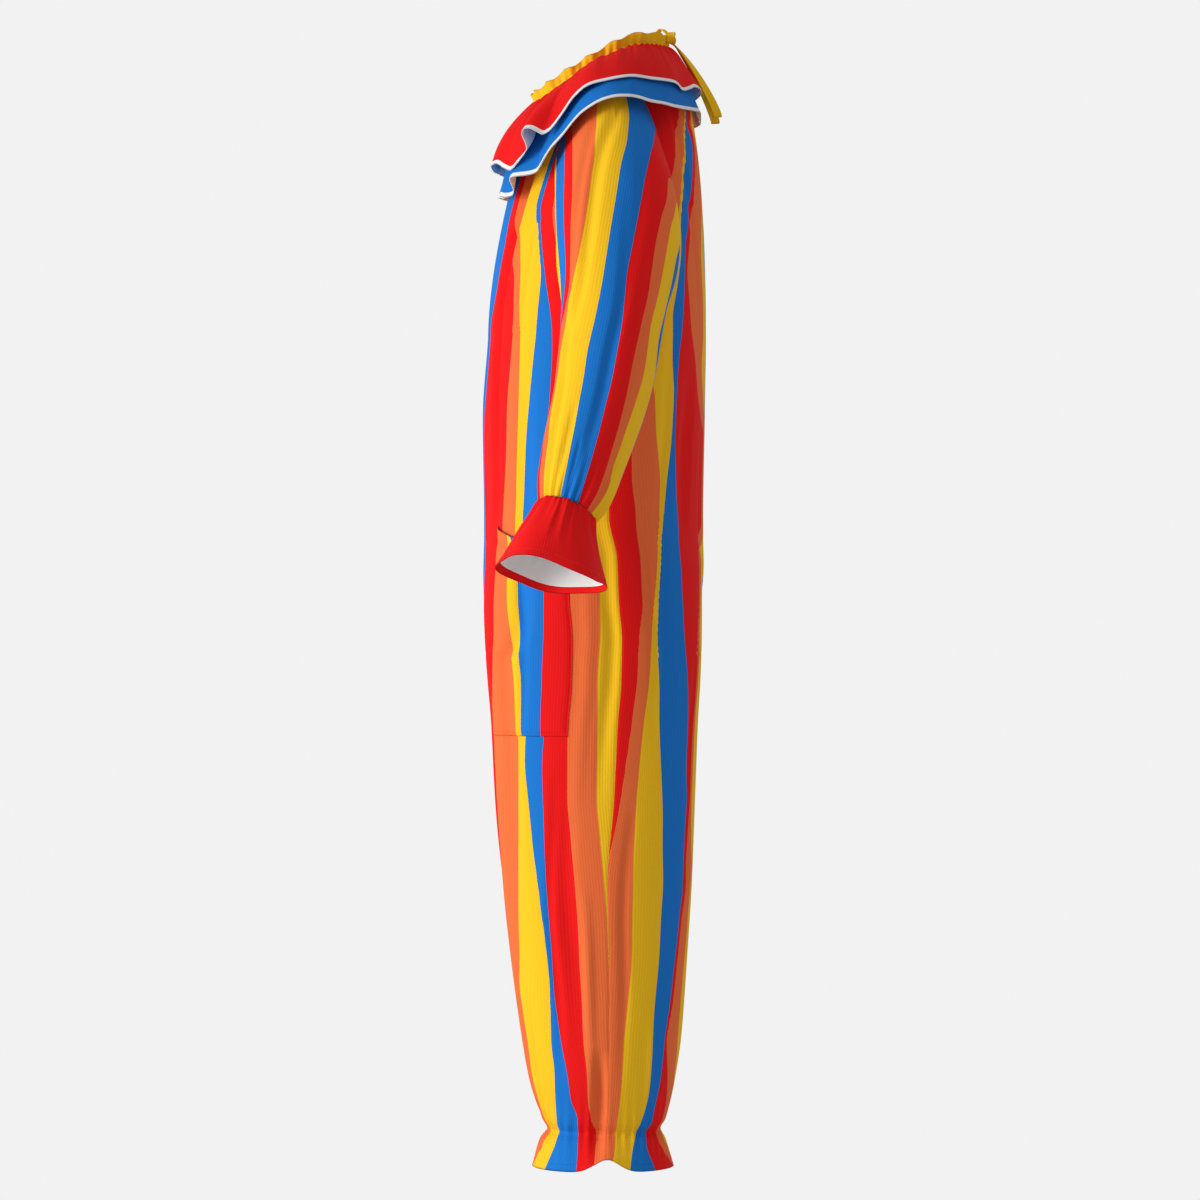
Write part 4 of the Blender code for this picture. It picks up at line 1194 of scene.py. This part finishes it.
def sleeve_skin(front, back):
    """The left sleeve: rings from the armhole to the wrist, with long soft folds
    along them and gathers that fade up from the wrist."""
    start, angles = arm_angles(front, back)
    at = np.concatenate([[0, 0.006, 0.014], np.linspace(0.026, 0.975, 84), [0.986, 0.995, 1]])
    tube = lofted([start] + [ring_points(ring, angles) for ring in SLEEVE], at)
    middles = tube.mean(axis=1, keepdims=True)
    normals = normals_of(tube, middles, wrap=True)
    turn = np.degrees(np.where(angles > math.pi, angles - 2 * math.pi, angles))
    share = at[:, None]
    depth = np.zeros(tube.shape[:2])
    for number, f in enumerate(ARM_FOLDS):
        t = np.clip((share - f.top) / (f.bottom - f.top), 0, 1)
        place = f.top_turn + (f.bottom_turn - f.top_turn) * t
        place = place + 3 * drift(at, 70 + number, 0.21)[:, None]
        depth += f.depth * np.sin(math.pi * t**0.8) * bump((turn - place) / f.half_turn)
    near = np.clip((share - 0.82) / 0.18, 0, 1) ** 1.5
    ease = 1 + 0.4 * np.sin(3 * angles + 1)
    depth += 0.0016 * near * ease * np.cos(23 * angles + 1.6 * np.sin(2 * angles))
    depth += 0.0010 * np.exp(-((share / 0.004) ** 2))
    depth += 0.0009 * np.exp(-(((1 - share) / 0.004) ** 2))
    tube = tube - normals * depth[:, :, None]
    return tube, normals_of(tube, middles, wrap=True), turn, at


class COSTUME_OT_sleeves(bpy.types.Operator):
    """Makes the two striped sleeves"""

    bl_idname = "costume.sleeves"
    bl_label = "Sleeves"

    def execute(self, context):
        settings = context.scene.costume
        tube, normals, turn, at = sleeve_skin(panel("front")[0], panel("back")[0])
        girth = np.linalg.norm(np.roll(tube, -1, 1) - tube, axis=2).sum(1)
        split = int(np.abs(turn - 180).argmin())
        tube, normals, turn = (
            np.roll(values, -split, axis)
            for values, axis in ((tube, 1), (normals, 1), (turn, 0))
        )
        round_turn = np.concatenate([[180.0], turn[1:], [-180.0]])
        wide = STRIPE / girth * 360
        stripe = stripes_at(SLEEVE_LINES, round_turn, at, wide, wide)
        cloth_uv = along_cloth(tube, True)
        cloth_uv[:, :, 0] = stripe * STRIPE
        for side_name, side in SIDES:
            own = stripe if side > 0 else 9 - stripe
            made = shell(
                f"sleeve_{side_name}_cloth", turned(side, tube), turned(side, normals),
                settings.cloth, striped(settings), cloth_uv, own, wrap=True,
            )
            finished(made, "striped_cloth", f"sleeve_{side_name}")
        return {"FINISHED"}


def cuff_skin():
    """The left cuff: rings from the wrist to the rim, gathered at the wrist by
    uneven flutes that fade down, and waved at the rim."""
    angles = np.linspace(0, 2 * math.pi, 180, endpoint=False)
    at = np.concatenate([[0, 0.012, 0.03], np.linspace(0.055, 0.90, 26), np.linspace(0.915, 1, 7)])
    tube = lofted([ring_points(ring, angles) for ring in CUFF], at)
    middles = tube.mean(axis=1, keepdims=True)
    down = at[:, None]
    out = WRIST_DEPTH * (1 - down) ** 2 * np.cos(WRIST_GATHERS * angles)
    wander = angles + 0.16 * np.sin(2 * angles + 0.6) + 0.10 * np.sin(5 * angles)
    out = out + 0.0022 * np.sin(math.pi * np.clip(down * 1.15 + 0.12, 0, 1)) * (
        0.6 * np.cos(13 * wander) + 0.4 * np.cos(7 * wander + 2)
    ) * (1 - down) ** 0.6
    out += 0.0012 * (1 - down) ** 3 * np.cos(29 * wander)
    out += RIM_WAVE * down**2 * np.cos(RIM_WAVES * angles + RIM_TURN)
    out -= 0.0010 * np.exp(-((down / 0.012) ** 2))
    tube = tube + unit(tube - middles) * out[:, :, None]
    behind = np.degrees(angles) - 318
    low = bump(behind / 62) + bump((behind + 360) / 62)
    axis = unit(middles[-1] - middles[-6])
    tube = tube + (0.0115 * down**2.2 * low)[:, :, None] * axis
    return tube, middles


class COSTUME_OT_cuffs(bpy.types.Operator):
    """Makes the two flared cuffs, lined in white with a red hem"""

    bl_idname = "costume.cuffs"
    bl_label = "Cuffs"

    def execute(self, context):
        settings = context.scene.costume
        tube, middles = cuff_skin()
        normals = normals_of(tube, middles, wrap=True)
        cloth_uv = along_cloth(tube, True)
        from_rim = cloth_uv[-1, 0, 1] - cloth_uv[:, 0, 1]
        hem = (from_rim[:-1] + from_rim[1:]) / 2 < settings.cuff_hem
        stripe = np.zeros(cloth_uv.shape[:2])
        for side_name, side in SIDES:
            made = shell(
                f"cuff_{side_name}_cloth", turned(side, tube), turned(side, normals),
                settings.ruffle, backed(settings, "red", settings.red), cloth_uv, stripe,
                wrap=True, under=np.where(hem, 0, 1),
            )
            finished(made, "red_cloth", f"cuff_{side_name}")
        row = int(np.abs(from_rim - settings.cuff_hem).argmin())
        line, out = (np.concatenate([v[row], v[row][:1]]) for v in (tube, normals))
        plain = np.zeros(len(line))
        runs = [(turned(side, line), turned(side, out), plain) for _, side in SIDES]
        stitches("cuff_stitches", runs, "red_cloth", thread_material("red_thread", tuple(settings.red)))
        return {"FINISHED"}


def pocket_skin():
    """The left pocket: the front panel's rows moved out, and most of all at the
    mouth, which slants and stands open. Its sewn edges come down to the panel."""
    across = np.concatenate([[0, 0.012, 0.03], np.linspace(0.06, 0.94, 40), [0.97, 0.988, 1]])
    down = np.concatenate([np.linspace(0, 0.05, 6), np.linspace(0.07, 0.965, 44), [0.98, 0.99, 1]])
    away = POCKET_INNER + (POCKET_OUTER - POCKET_INNER) * across
    mouth = POCKET_TOP_INNER + (POCKET_TOP_OUTER - POCKET_TOP_INNER) * across
    levels = np.linspace(POCKET_FOOT - 0.004, POCKET_TOP_INNER + 0.004, 90)
    _, width = level_rows(levels, "front", np.array([1.0]))
    fine = np.linspace(0.30, 0.95, 261)
    rows, _ = leg_rows(levels, "front", fine)
    out = level_out(rows)
    normals = normals_of(rows, BODY_CORE)
    distance = (1 - fine) * width[:, None]
    rows = creased(rows, normals, distance, levels, CREASES["front"], ())
    on_rows = np.array(
        [
            [np.interp(-away, -d, line[:, axis]) for axis in range(3)]
            for d, line in zip(distance, np.dstack([rows, out]).reshape(len(levels), -1, 6)[:, :, :3])
        ]
    ).transpose(0, 2, 1)
    out_rows = np.array(
        [[np.interp(-away, -d, line[:, axis]) for axis in range(3)] for d, line in zip(distance, out)]
    ).transpose(0, 2, 1)
    height = mouth + (POCKET_FOOT - mouth) * down[:, None]
    place = (height - levels[0]) / (levels[1] - levels[0])
    low = np.clip(place.astype(int), 0, len(levels) - 2)
    t = (place - low)[:, :, None]
    columns = np.arange(len(across))
    base = on_rows[low, columns] * (1 - t) + on_rows[low + 1, columns] * t
    square = unit(out_rows[low, columns] * (1 - t) + out_rows[low + 1, columns] * t)
    stand = POCKET_MOUTH * (1 - down[:, None]) ** 3 * np.sin(math.pi * across) ** 0.8
    edge = np.minimum(np.minimum(across, 1 - across) * 0.129, ((1 - down) * 0.24)[:, None])
    lift = POCKET_LIFT - 0.0015 * np.exp(-((edge / 0.0045) ** 2))
    band = np.exp(-(((down - 0.075) / 0.012) ** 2))[:, None]
    lift = lift - 0.0004 * band
    grid = base + square * (stand + lift)[:, :, None]
    return grid[::-1], np.broadcast_to(away, grid.shape[:2]), height[::-1]


class COSTUME_OT_pockets(bpy.types.Operator):
    """Makes the two patch pockets on the front"""

    bl_idname = "costume.pockets"
    bl_label = "Pockets"

    def execute(self, context):
        settings = context.scene.costume
        grid, away, height = pocket_skin()
        normals = normals_of(grid, BODY_CORE)
        levels = height.mean(1)
        wide = STRIPE * 1000
        stripe = stripes_at(POCKET_LINES, away * 1000, levels, wide, wide) - 1
        cloth_uv = along_cloth(grid)
        cloth_uv[:, :, 0] = stripe * STRIPE
        runs = []
        for side_name, side in SIDES:
            own = stripe if side > 0 else 8 - stripe
            for line in (np.s_[2:, 2], np.s_[2:, -3], np.s_[2, 2:-2], np.s_[-7, 2:-2]):
                runs.append((turned(side, grid)[line], turned(side, normals)[line], own[line]))
            made = shell(
                f"pocket_{side_name}_cloth", turned(side, grid), turned(side, normals),
                settings.cloth, striped(settings), cloth_uv, own,
            )
            finished(made, "striped_cloth", f"pocket_{side_name}")
        stitches("pocket_stitches", runs, "striped_cloth", striped(settings)[0])
        return {"FINISHED"}


def level_way(angles):
    """The level way out from the neck seam, square to it."""
    ahead = unit((neck(angles + 0.01) - neck(angles - 0.01)) * (1, 1, 0))
    return np.cross(ahead, (0, 0, 1))


FOLD_UNDER = np.array([0.004, 0.014, -0.006])
COARSE_ANGLES = np.linspace(-1, 1, 181) * (math.pi - COLLAR_SPLIT)


def coarse_tier(table, left, lift, flute_height, fold_under):
    """A collar tier in 6 rows: straight lines from its seam to its hem, arched up
    by a parabola and stood up by the flutes, more and more towards the hem. One
    wall of the left front flute is folded under by this much."""
    angles = COARSE_ANGLES
    across = np.abs(np.degrees(angles))
    on_left = (angles > 0)[:, None]
    hem = np.stack([column(table, name, across) for name in "xyz"], 1)
    hem[:, 0] *= -1
    hem = np.where(on_left, np.stack([column(left, name, across) for name in "xyz"], 1), hem)
    arch = column(table, "arch", across)
    start = neck(angles) + level_way(angles) * TIER_START + (0, 0, lift)
    stand, lean = np.zeros(len(angles)), np.zeros(len(angles))
    for flute in FLUTES:
        rise = bump((np.degrees(angles) - flute.angle) / flute.spread)
        stand += getattr(flute, flute_height) * rise
        lean += flute.lean * rise
    away = hem - start
    along_hem = unit(np.gradient(hem, axis=0))
    square = unit(np.cross(away, along_hem))
    r = np.linspace(0, 1, 6)[:, None, None]
    swell = arch[:, None] * 4 * r * (1 - r) + stand[:, None] * r**1.5
    grid = start + away * r + square * swell + along_hem * lean[:, None] * r**3
    tuck = bump((np.degrees(angles) - 52) / 9)[:, None] * np.sin(math.pi * r**1.6)
    grid += tuck * fold_under
    for row, spread in ((1, 7), (2, 6), (3, 4), (4, 2)):
        weights = np.hanning(2 * spread + 3)[1:-1]
        padded = np.pad(grid[row], ((spread, spread), (0, 0)), "wrap")
        even = sum(w * padded[i : i + len(angles)] for i, w in enumerate(weights))
        grid[row] = even / weights.sum()
    return grid


def held_off(grid, under, gap, ease, spread):
    """A grid moved out until it clears these surfaces by a gap: each point is
    pushed along the normal of the surface point nearest to it. The pushes are
    evened out over this many columns, and eased in from the seam."""
    points = grid.reshape(-1, 3).copy()
    for surface, normals in under:
        nearest = np.concatenate(
            [
                ((part[:, None] - surface[None]) ** 2).sum(2).argmin(1)
                for part in np.array_split(points, max(1, len(points) // 400))
            ]
        )
        way = points - surface[nearest]
        clear = (way * normals[nearest]).sum(1)
        pushed = (clear < gap) & (np.linalg.norm(way, axis=1) < 0.03)
        points += normals[nearest] * np.where(pushed, gap - clear, 0)[:, None]
    push = points.reshape(grid.shape) - grid
    weights = np.hanning(2 * spread + 3)[1:-1]
    padded = np.pad(push, ((0, 0), (spread, spread), (0, 0)), "wrap")
    even = sum(w * padded[:, i : i + grid.shape[1]] for i, w in enumerate(weights))
    return grid + even / weights.sum() * ease[:, None, None]


def softened(grid, rounds):
    """The grid averaged with its neighbours on each side, its edges left in place."""
    for _ in range(rounds):
        middle = (grid[1:-1, :-2] + 2 * grid[1:-1, 1:-1] + grid[1:-1, 2:]) / 4
        middle = middle / 2 + (grid[:-2, 1:-1] + grid[2:, 1:-1]) / 4
        grid = grid.copy()
        grid[1:-1, 1:-1] = middle
    return grid


def tier_skin(coarse, under, gap, hem_width, seed):
    """A tier in fine rows and columns, with small gathers that fade off its seam
    and uneven ripples that grow towards its hem. The last rows are the hem."""
    angles = np.linspace(-1, 1, 641) * (math.pi - COLLAR_SPLIT)
    coarse_shares = np.linspace(0, 1, 6)
    reach = smooth(angles, COARSE_ANGLES, coarse.transpose(1, 0, 2))
    fine_shares = np.linspace(0, 1, 41)
    lines = smooth(fine_shares, coarse_shares, reach.transpose(1, 0, 2))
    steps = np.linalg.norm(np.diff(lines, axis=0), axis=2)
    length = np.concatenate([np.zeros((1, len(angles))), np.cumsum(steps, 0)])
    share = np.concatenate([[0, 0.006, 0.015], np.linspace(0.03, 1, 34)])[:, None]
    main = share * (length[-1] - hem_width)
    hem = length[-1] - hem_width * np.array([0.82, 0.64, 0.3, 0.0])[:, None]
    places = np.concatenate([main, hem])
    grid = np.stack(
        [
            np.stack(
                [np.interp(p, run, line) for p, run, line in zip(places.T, length.T, lines[:, :, a].T)]
            ).T
            for a in range(3)
        ],
        2,
    )
    ease = np.clip(places.mean(1) / length[-1].mean() / 0.25, 0, 1)
    grid = held_off(grid, under, gap, ease, 9)
    grid = softened(grid, 3)
    down = places / length[-1]
    up = np.array([0.0, 0.0, 1.0])
    normals = normals_of(grid, np.array([0.0, 0.0, -0.4]))
    wander = angles + 0.020 * drift(angles, seed, 0.31) + 0.012 * drift(angles, seed + 1, 0.12)
    size = 1 + 0.45 * drift(angles, seed + 2, 0.22)
    gathers = 0.0011 * size * np.cos(58 * wander) * (1 - down) ** 2.2
    pleats = 0.0016 * size * np.cos(27 * wander + 1.0) * (1 - down) ** 1.2 * down**0.4
    ripples = 0.0012 * drift(angles, seed + 3, 0.16) * down**1.5
    lift = gathers + pleats + ripples
    lift = np.maximum(lift, -0.0011)
    hem_rise = np.where(np.arange(len(places)) > len(main), 0.00035, 0.0)[:, None]
    return grid + normals * (lift + hem_rise)[:, :, None], len(main), normals


def casing_skin():
    """The casing: a band that stands on the neck seam, drawn into uneven gathers
    by its drawstring, with a small ruffle along its top edge."""
    angles = np.linspace(-1, 1, 721) * (math.pi - COLLAR_SPLIT)
    seam, level = neck(angles), level_way(angles)
    at_back = bump((math.pi - np.abs(angles)) / math.radians(34))
    wander = angles + 0.030 * drift(angles, 9, 0.35) + 0.012 * drift(angles, 10, 0.13)
    size = (1 + 0.4 * drift(angles, 11, 0.25)) * (1 - 0.75 * at_back)
    r = np.concatenate([[0, 0.03], np.linspace(0.08, 0.94, 19), [0.98, 1]])[:, None]
    flare = CASING_FLARE * (1 - at_back) * np.maximum(0, 2 * r - 1)
    gathers = 0.0009 * size * np.cos(52 * wander) * (1 - 0.6 * r)
    waves = 0.0024 * size * np.cos(17 * wander + 0.8) * r**1.3
    drawn = -0.0010 * np.exp(-(((r - 0.34) / 0.10) ** 2)) * (1 - 0.5 * at_back)
    swell = 0.0006 * np.exp(-(((r - 0.16) / 0.10) ** 2))
    reach = flare + gathers + waves + drawn + swell
    rise = CASING_START + CASING_HEIGHT * r + 0.0014 * size * np.cos(17 * wander + 2.4) * r**2
    rise = rise - 0.0012 * at_back * r
    return seam + level * reach[:, :, None] + np.dstack([0 * rise, 0 * rise, rise])


class COSTUME_OT_collar(bpy.types.Operator):
    """Makes the gathered neck casing and the two ruffles under it"""

    bl_idname = "costume.collar"
    bl_label = "Collar"

    def execute(self, context):
        settings = context.scene.costume
        front, back = panel_skin("front"), panel_skin("back")
        tube, tube_normals, _, _ = sleeve_skin(panel("front")[0], panel("back")[0])
        under = []
        for grid, normals in (front[:2], back[:2], (tube, tube_normals)):
            near = (grid[:, :, 2] > -0.26) & (np.indices(grid.shape[:2]).sum(0) % 2 == 0)
            for _, side in SIDES:
                under.append((turned(side, grid[near]), turned(side, normals[near])))
        below = np.array([0.0, 0.0, -0.4])
        gap = TIER_CLEARANCE + settings.ruffle
        lower = (LOWER_HEM, LOWER_LEFT, LOWER_LIFT, "lower", (0, 0, 0))
        upper = (UPPER_HEM, UPPER_LEFT, UPPER_LIFT, "upper", FOLD_UNDER)
        for name, form, colour, slot, seed, cut in (
            ("collar_lower", lower, settings.blue, "blue_cloth", 21, (1.32, 0.125)),
            ("collar_upper", upper, settings.red, "red_cloth", 31, (1.24, 0.105)),
        ):
            ease = np.clip(np.linspace(0, 1, 6) / 0.4, 0, 1)
            coarse = held_off(coarse_tier(*form), under, gap * 1.3, ease, 4)
            grid, main_rows, _ = tier_skin(coarse, under, gap, settings.collar_hem, seed)
            normals = normals_of(grid, below)
            bands = np.where(np.arange(len(grid) - 1) >= main_rows - 1, 2, 0)
            cloth_uv = along_cloth(grid)
            made = shell(
                f"{name}_ruffle", grid, normals, settings.ruffle,
                backed(settings, slot.split("_")[0], colour), cloth_uv,
                np.zeros(grid.shape[:2]), bands=bands,
            )
            finished(made, slot, name)
            near = np.indices(grid.shape[:2]).sum(0) % 2 == 0
            under.append((grid[near], normals[near]))
        grid = casing_skin()
        normals = normals_of(grid, np.array([0.0, 0.0, math.nan]))
        yellow = cloth_material("yellow_knit", settings, tuple(settings.yellow))
        made = shell(
            "neck_casing_cloth", grid, normals, settings.cloth, [yellow, yellow],
            along_cloth(grid), np.zeros(grid.shape[:2]),
        )
        finished(made, "yellow_cloth", "neck_casing")
        thread = thread_material("yellow_thread", tuple(settings.yellow))
        run = (grid[8], normals[8], np.zeros(grid.shape[1]))
        stitches("casing_stitches", [run], "yellow_cloth", thread)
        return {"FINISHED"}


def tape_skin(path, width_way, ends, width, thickness):
    """A tape along a path: rows across it, drawn in to the knot at these ends, with
    its edges a little raised where they are stitched."""
    run = unit(np.gradient(path, axis=0))
    side = unit(width_way - run * (width_way * run).sum(axis=1)[:, None])
    t = np.linspace(0, 1, len(path))
    away = np.abs(t[:, None] - np.array(ends)).min(axis=1)
    half = width / 2 * (1 - KNOT_DRAW * bump(away / DRAWN_SHARE))
    across = np.array([-1, -0.86, -0.6, -0.2, 0.2, 0.6, 0.86, 1.0])
    face = np.cross(side, run)
    profile = 0.00025 * np.exp(-(((np.abs(across) - 0.86) / 0.15) ** 2))
    grid = path[:, None] + side[:, None] * (half[:, None] * across)[:, :, None]
    grid = grid + face[:, None] * (profile + thickness / 2)[:, None]
    return grid, np.broadcast_to(face[:, None], grid.shape)


def tail_path(side, end, count=61):
    """A free end of the tie: a straight line out of the knot bulged by part of a
    sine, with its width turned bit by bit along the way."""
    start = KNOT + (side * 0.0028, 0.0010, -KNOT_SIZE[2] / 2 - 0.0001)
    t = np.linspace(0, 1, count)[:, None]
    path = start * (1 - t) + np.array(end) * t
    path = path + TAIL_BULGE * np.sin(math.pi * t) ** 0.6
    turn = math.radians(80) * side * t[:, 0] ** 0.8
    level = np.array([1.0, 0.0, 0.0])
    square = np.cross(unit(np.array(end) - start), level)
    return path, np.outer(np.cos(turn), level) + np.outer(np.sin(turn), square)


def loop_path(way, length, height, count=61):
    """A bow loop: a teardrop that leaves the knot and comes back to it."""
    t = np.linspace(0, 1, count)
    way = unit(np.array(way))
    rise = unit(np.array([0.0, 0.0, 1.0]) - way * way[2])
    start = KNOT + way * (KNOT_SIZE[0] / 2 - 0.0004)
    swing = height * np.sin(2 * math.pi * t) * np.sin(math.pi * t) ** 0.5
    swing = swing + 0.0022 * np.cos(math.pi * t)
    path = start + np.outer(length * np.sin(math.pi * t), way) + np.outer(swing, rise)
    return path, np.tile(np.cross(way, rise), (count, 1))


class COSTUME_OT_tails(bpy.types.Operator):
    """Makes the two free ends of the neck tie"""

    bl_idname = "costume.tails"
    bl_label = "Tie ends"

    def execute(self, context):
        settings = context.scene.costume
        yellow = cloth_material("yellow_knit", settings, tuple(settings.yellow))
        for (side_name, side), end in zip(SIDES, (TAIL_END_LEFT, TAIL_END_RIGHT)):
            path, width_way = tail_path(side, end)
            grid, normals = tape_skin(path, width_way, (0,), settings.tape_width, settings.tape)
            made = shell(
                f"tie_tail_{side_name}_tape", grid, normals, settings.tape, [yellow, yellow],
                along_cloth(grid), np.zeros(grid.shape[:2]),
            )
            finished(made, "yellow_cloth", f"tie_tail_{side_name}")
        return {"FINISHED"}


class COSTUME_OT_bow(bpy.types.Operator):
    """Makes the knot and the two small loops of the neck tie"""

    bl_idname = "costume.bow"
    bl_label = "Tie knot and loops"

    def execute(self, context):
        settings = context.scene.costume
        yellow = cloth_material("yellow_knit", settings, tuple(settings.yellow))
        for side_name, (path, width_way) in (
            ("left", loop_path((0.93, -0.10, 0.02), 0.025, 0.0062)),
            ("right", loop_path((-0.42, -0.72, 0.42), 0.019, 0.006)),
        ):
            grid, normals = tape_skin(path, width_way, (0, 1), settings.tape_width, settings.tape)
            made = shell(
                f"tie_loop_{side_name}_tape", grid, normals, settings.tape, [yellow, yellow],
                along_cloth(grid), np.zeros(grid.shape[:2]),
            )
            finished(made, "yellow_cloth", f"tie_loop_{side_name}")
        made = knot_object(yellow)
        finished(made, "yellow_cloth", "tie_knot")
        return {"FINISHED"}


def knot_object(material):
    """The knot: an ellipsoid whose radius dips along two slanting wraps, with its
    two poles closed by triangles."""
    rows, columns = 25, 48
    v = np.linspace(0, math.pi, rows)[1:-1, None]
    u = np.linspace(0, 2 * math.pi, columns, endpoint=False)
    groove = np.exp(-((np.sin((u + 1.3 * np.cos(v)) * 1.0) / 0.22) ** 2))
    pinch = np.exp(-((np.cos(v - 0.5 * np.sin(u)) / 0.20) ** 2))
    size = 1.04 - 0.10 * groove - 0.07 * pinch + 0.02 * np.sin(4 * u) * np.sin(v)
    way = np.stack([np.sin(v) * np.cos(u), np.sin(v) * np.sin(u), np.cos(v) + 0 * u], 2)
    body = KNOT + way * size[:, :, None] * np.array(KNOT_SIZE) / 2
    poles = KNOT + np.array([[0, 0, 0.5], [0, 0, -0.5]]) * KNOT_SIZE[2]
    points = np.concatenate([body.reshape(-1, 3), poles])
    number = np.arange(len(points) - 2).reshape(rows - 2, columns)
    after = np.roll(number, -1, 1)
    quads = np.stack([number[:-1], number[1:], after[1:], after[:-1]], 2).reshape(-1, 4)
    top, bottom = len(points) - 2, len(points) - 1
    caps = np.concatenate(
        [
            np.stack([np.full(columns, top), number[0], after[0]], 1),
            np.stack([np.full(columns, bottom), after[-1], number[-1]], 1),
        ]
    )
    faces = quads.tolist() + caps.tolist()
    at = np.concatenate([quads.ravel(), caps.ravel()])
    uv = {"cloth": points[at][:, [0, 2]]}
    return mesh_object("tie_knot_tape", points, faces, uv, np.zeros(len(faces)), [material])


# ---- Stage ----


class COSTUME_OT_stage(bpy.types.Operator):
    """Makes the camera, the lamps, the floor and the pale ground around"""

    bl_idname = "costume.stage"
    bl_label = "Stage"

    def execute(self, context):
        settings = context.scene.costume_stage
        data = bpy.data.cameras.new("camera")
        data.sensor_width = 36.0
        data.lens = settings.lens
        camera = bpy.data.objects.new("camera", data)
        camera.location = (6.0, -0.005, -0.673)
        camera.rotation_euler = (math.radians(90), 0, math.radians(90))
        context.scene.collection.objects.link(camera)
        context.scene.camera = camera
        context.scene.view_settings.view_transform = "Standard"
        world = bpy.data.worlds.new("studio")
        world.use_nodes = True
        sky = world.node_tree.nodes["Background"]
        sky.inputs["Color"].default_value = (1.0, 1.0, 1.0, 1.0)
        sky.inputs["Strength"].default_value = settings.ambient
        context.scene.world = world
        lamp = bpy.data.lights.new("key", "AREA")
        lamp.energy = settings.key
        lamp.shape = "RECTANGLE"
        lamp.size, lamp.size_y = 1.6, 2.4
        key = bpy.data.objects.new("key", lamp)
        key.location = (1.75, -3.6, -0.45)
        aim = np.array([0.0, 0.0, -0.66]) - np.array(key.location)
        key.rotation_euler = (
            math.acos(-aim[2] / np.linalg.norm(aim)), 0, math.atan2(-aim[0], aim[1])
        )
        context.scene.collection.objects.link(key)
        ground = bpy.data.materials.new("pale_ground")
        ground.use_nodes = True
        shader = ground.node_tree.nodes["Principled BSDF"]
        shader.inputs["Base Color"].default_value = (0.0, 0.0, 0.0, 1.0)
        shader.inputs["Specular IOR Level"].default_value = 0.0
        shader.inputs["Emission Color"].default_value = (*settings.ground, 1.0)
        shader.inputs["Emission Strength"].default_value = 1.0
        for name, made in (("floor", floor_disc(ground)), ("backdrop", dome(ground))):
            made.visible_diffuse = False
            made.visible_glossy = False
            made.visible_transmission = False
            made.visible_shadow = False
        return {"FINISHED"}


FLOOR_LEVEL = -1.3840


def floor_disc(material):
    """The floor: a level disc of rings just under the hems."""
    angles = np.linspace(0, 2 * math.pi, 64, endpoint=False)
    rings = [
        np.stack([r * np.cos(angles), r * np.sin(angles), np.full(64, FLOOR_LEVEL)], 1)
        for r in (0.01, 1.0, 4.0, 14.0)
    ]
    points = np.concatenate(rings)
    number = np.arange(len(points)).reshape(4, 64)
    after = np.roll(number, -1, 1)
    quads = np.stack([number[:-1], number[1:], after[1:], after[:-1]], 2).reshape(-1, 4)
    return mesh_object("floor", points, quads, {}, np.zeros(len(quads)), [material])


def dome(material):
    """The backdrop: a half sphere that stands on the floor, all round."""
    u = np.linspace(0, 2 * math.pi, 96, endpoint=False)
    v = np.linspace(0, math.radians(89.5), 24)[:, None]
    flat = np.cos(v)
    points = 12.0 * np.stack([flat * np.cos(u), flat * np.sin(u), np.sin(v) + 0 * u], 2)
    points = points.reshape(-1, 3) + (0, 0, FLOOR_LEVEL)
    number = np.arange(len(points)).reshape(24, 96)
    after = np.roll(number, -1, 1)
    quads = np.stack([number[:-1], number[1:], after[1:], after[:-1]], 2).reshape(-1, 4)
    return mesh_object("backdrop", points, quads, {}, np.zeros(len(quads)), [material])


class COSTUME_PT_panel(bpy.types.Panel):
    """Lists the costume's pieces and sizes in the sidebar"""

    bl_idname = "COSTUME_PT_panel"
    bl_label = "Clown costume"
    bl_space_type = "VIEW_3D"
    bl_region_type = "UI"
    bl_category = "Costume"

    def draw(self, context):
        for settings in (context.scene.costume, context.scene.costume_stage):
            for name in settings.__annotations__:
                self.layout.prop(settings, name)
        for operator in OPERATORS:
            self.layout.operator(operator.bl_idname)


OPERATORS = (
    COSTUME_OT_stage,
    COSTUME_OT_tails,
    COSTUME_OT_bow,
    COSTUME_OT_panels,
    COSTUME_OT_sleeves,
    COSTUME_OT_cuffs,
    COSTUME_OT_pockets,
    COSTUME_OT_collar,
)
CLASSES = (CostumeSettings, StageSettings, *OPERATORS, COSTUME_PT_panel)


def register():
    for made in CLASSES:
        bpy.utils.register_class(made)
    bpy.types.Scene.costume = bpy.props.PointerProperty(type=CostumeSettings)
    bpy.types.Scene.costume_stage = bpy.props.PointerProperty(type=StageSettings)


def unregister():
    del bpy.types.Scene.costume_stage
    del bpy.types.Scene.costume
    for made in reversed(CLASSES):
        bpy.utils.unregister_class(made)


def main():
    register()
    for operator in OPERATORS:
        group, name = operator.bl_idname.split(".")
        getattr(getattr(bpy.ops, group), name)()
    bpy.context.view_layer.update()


if __name__ == "__main__":
    main()
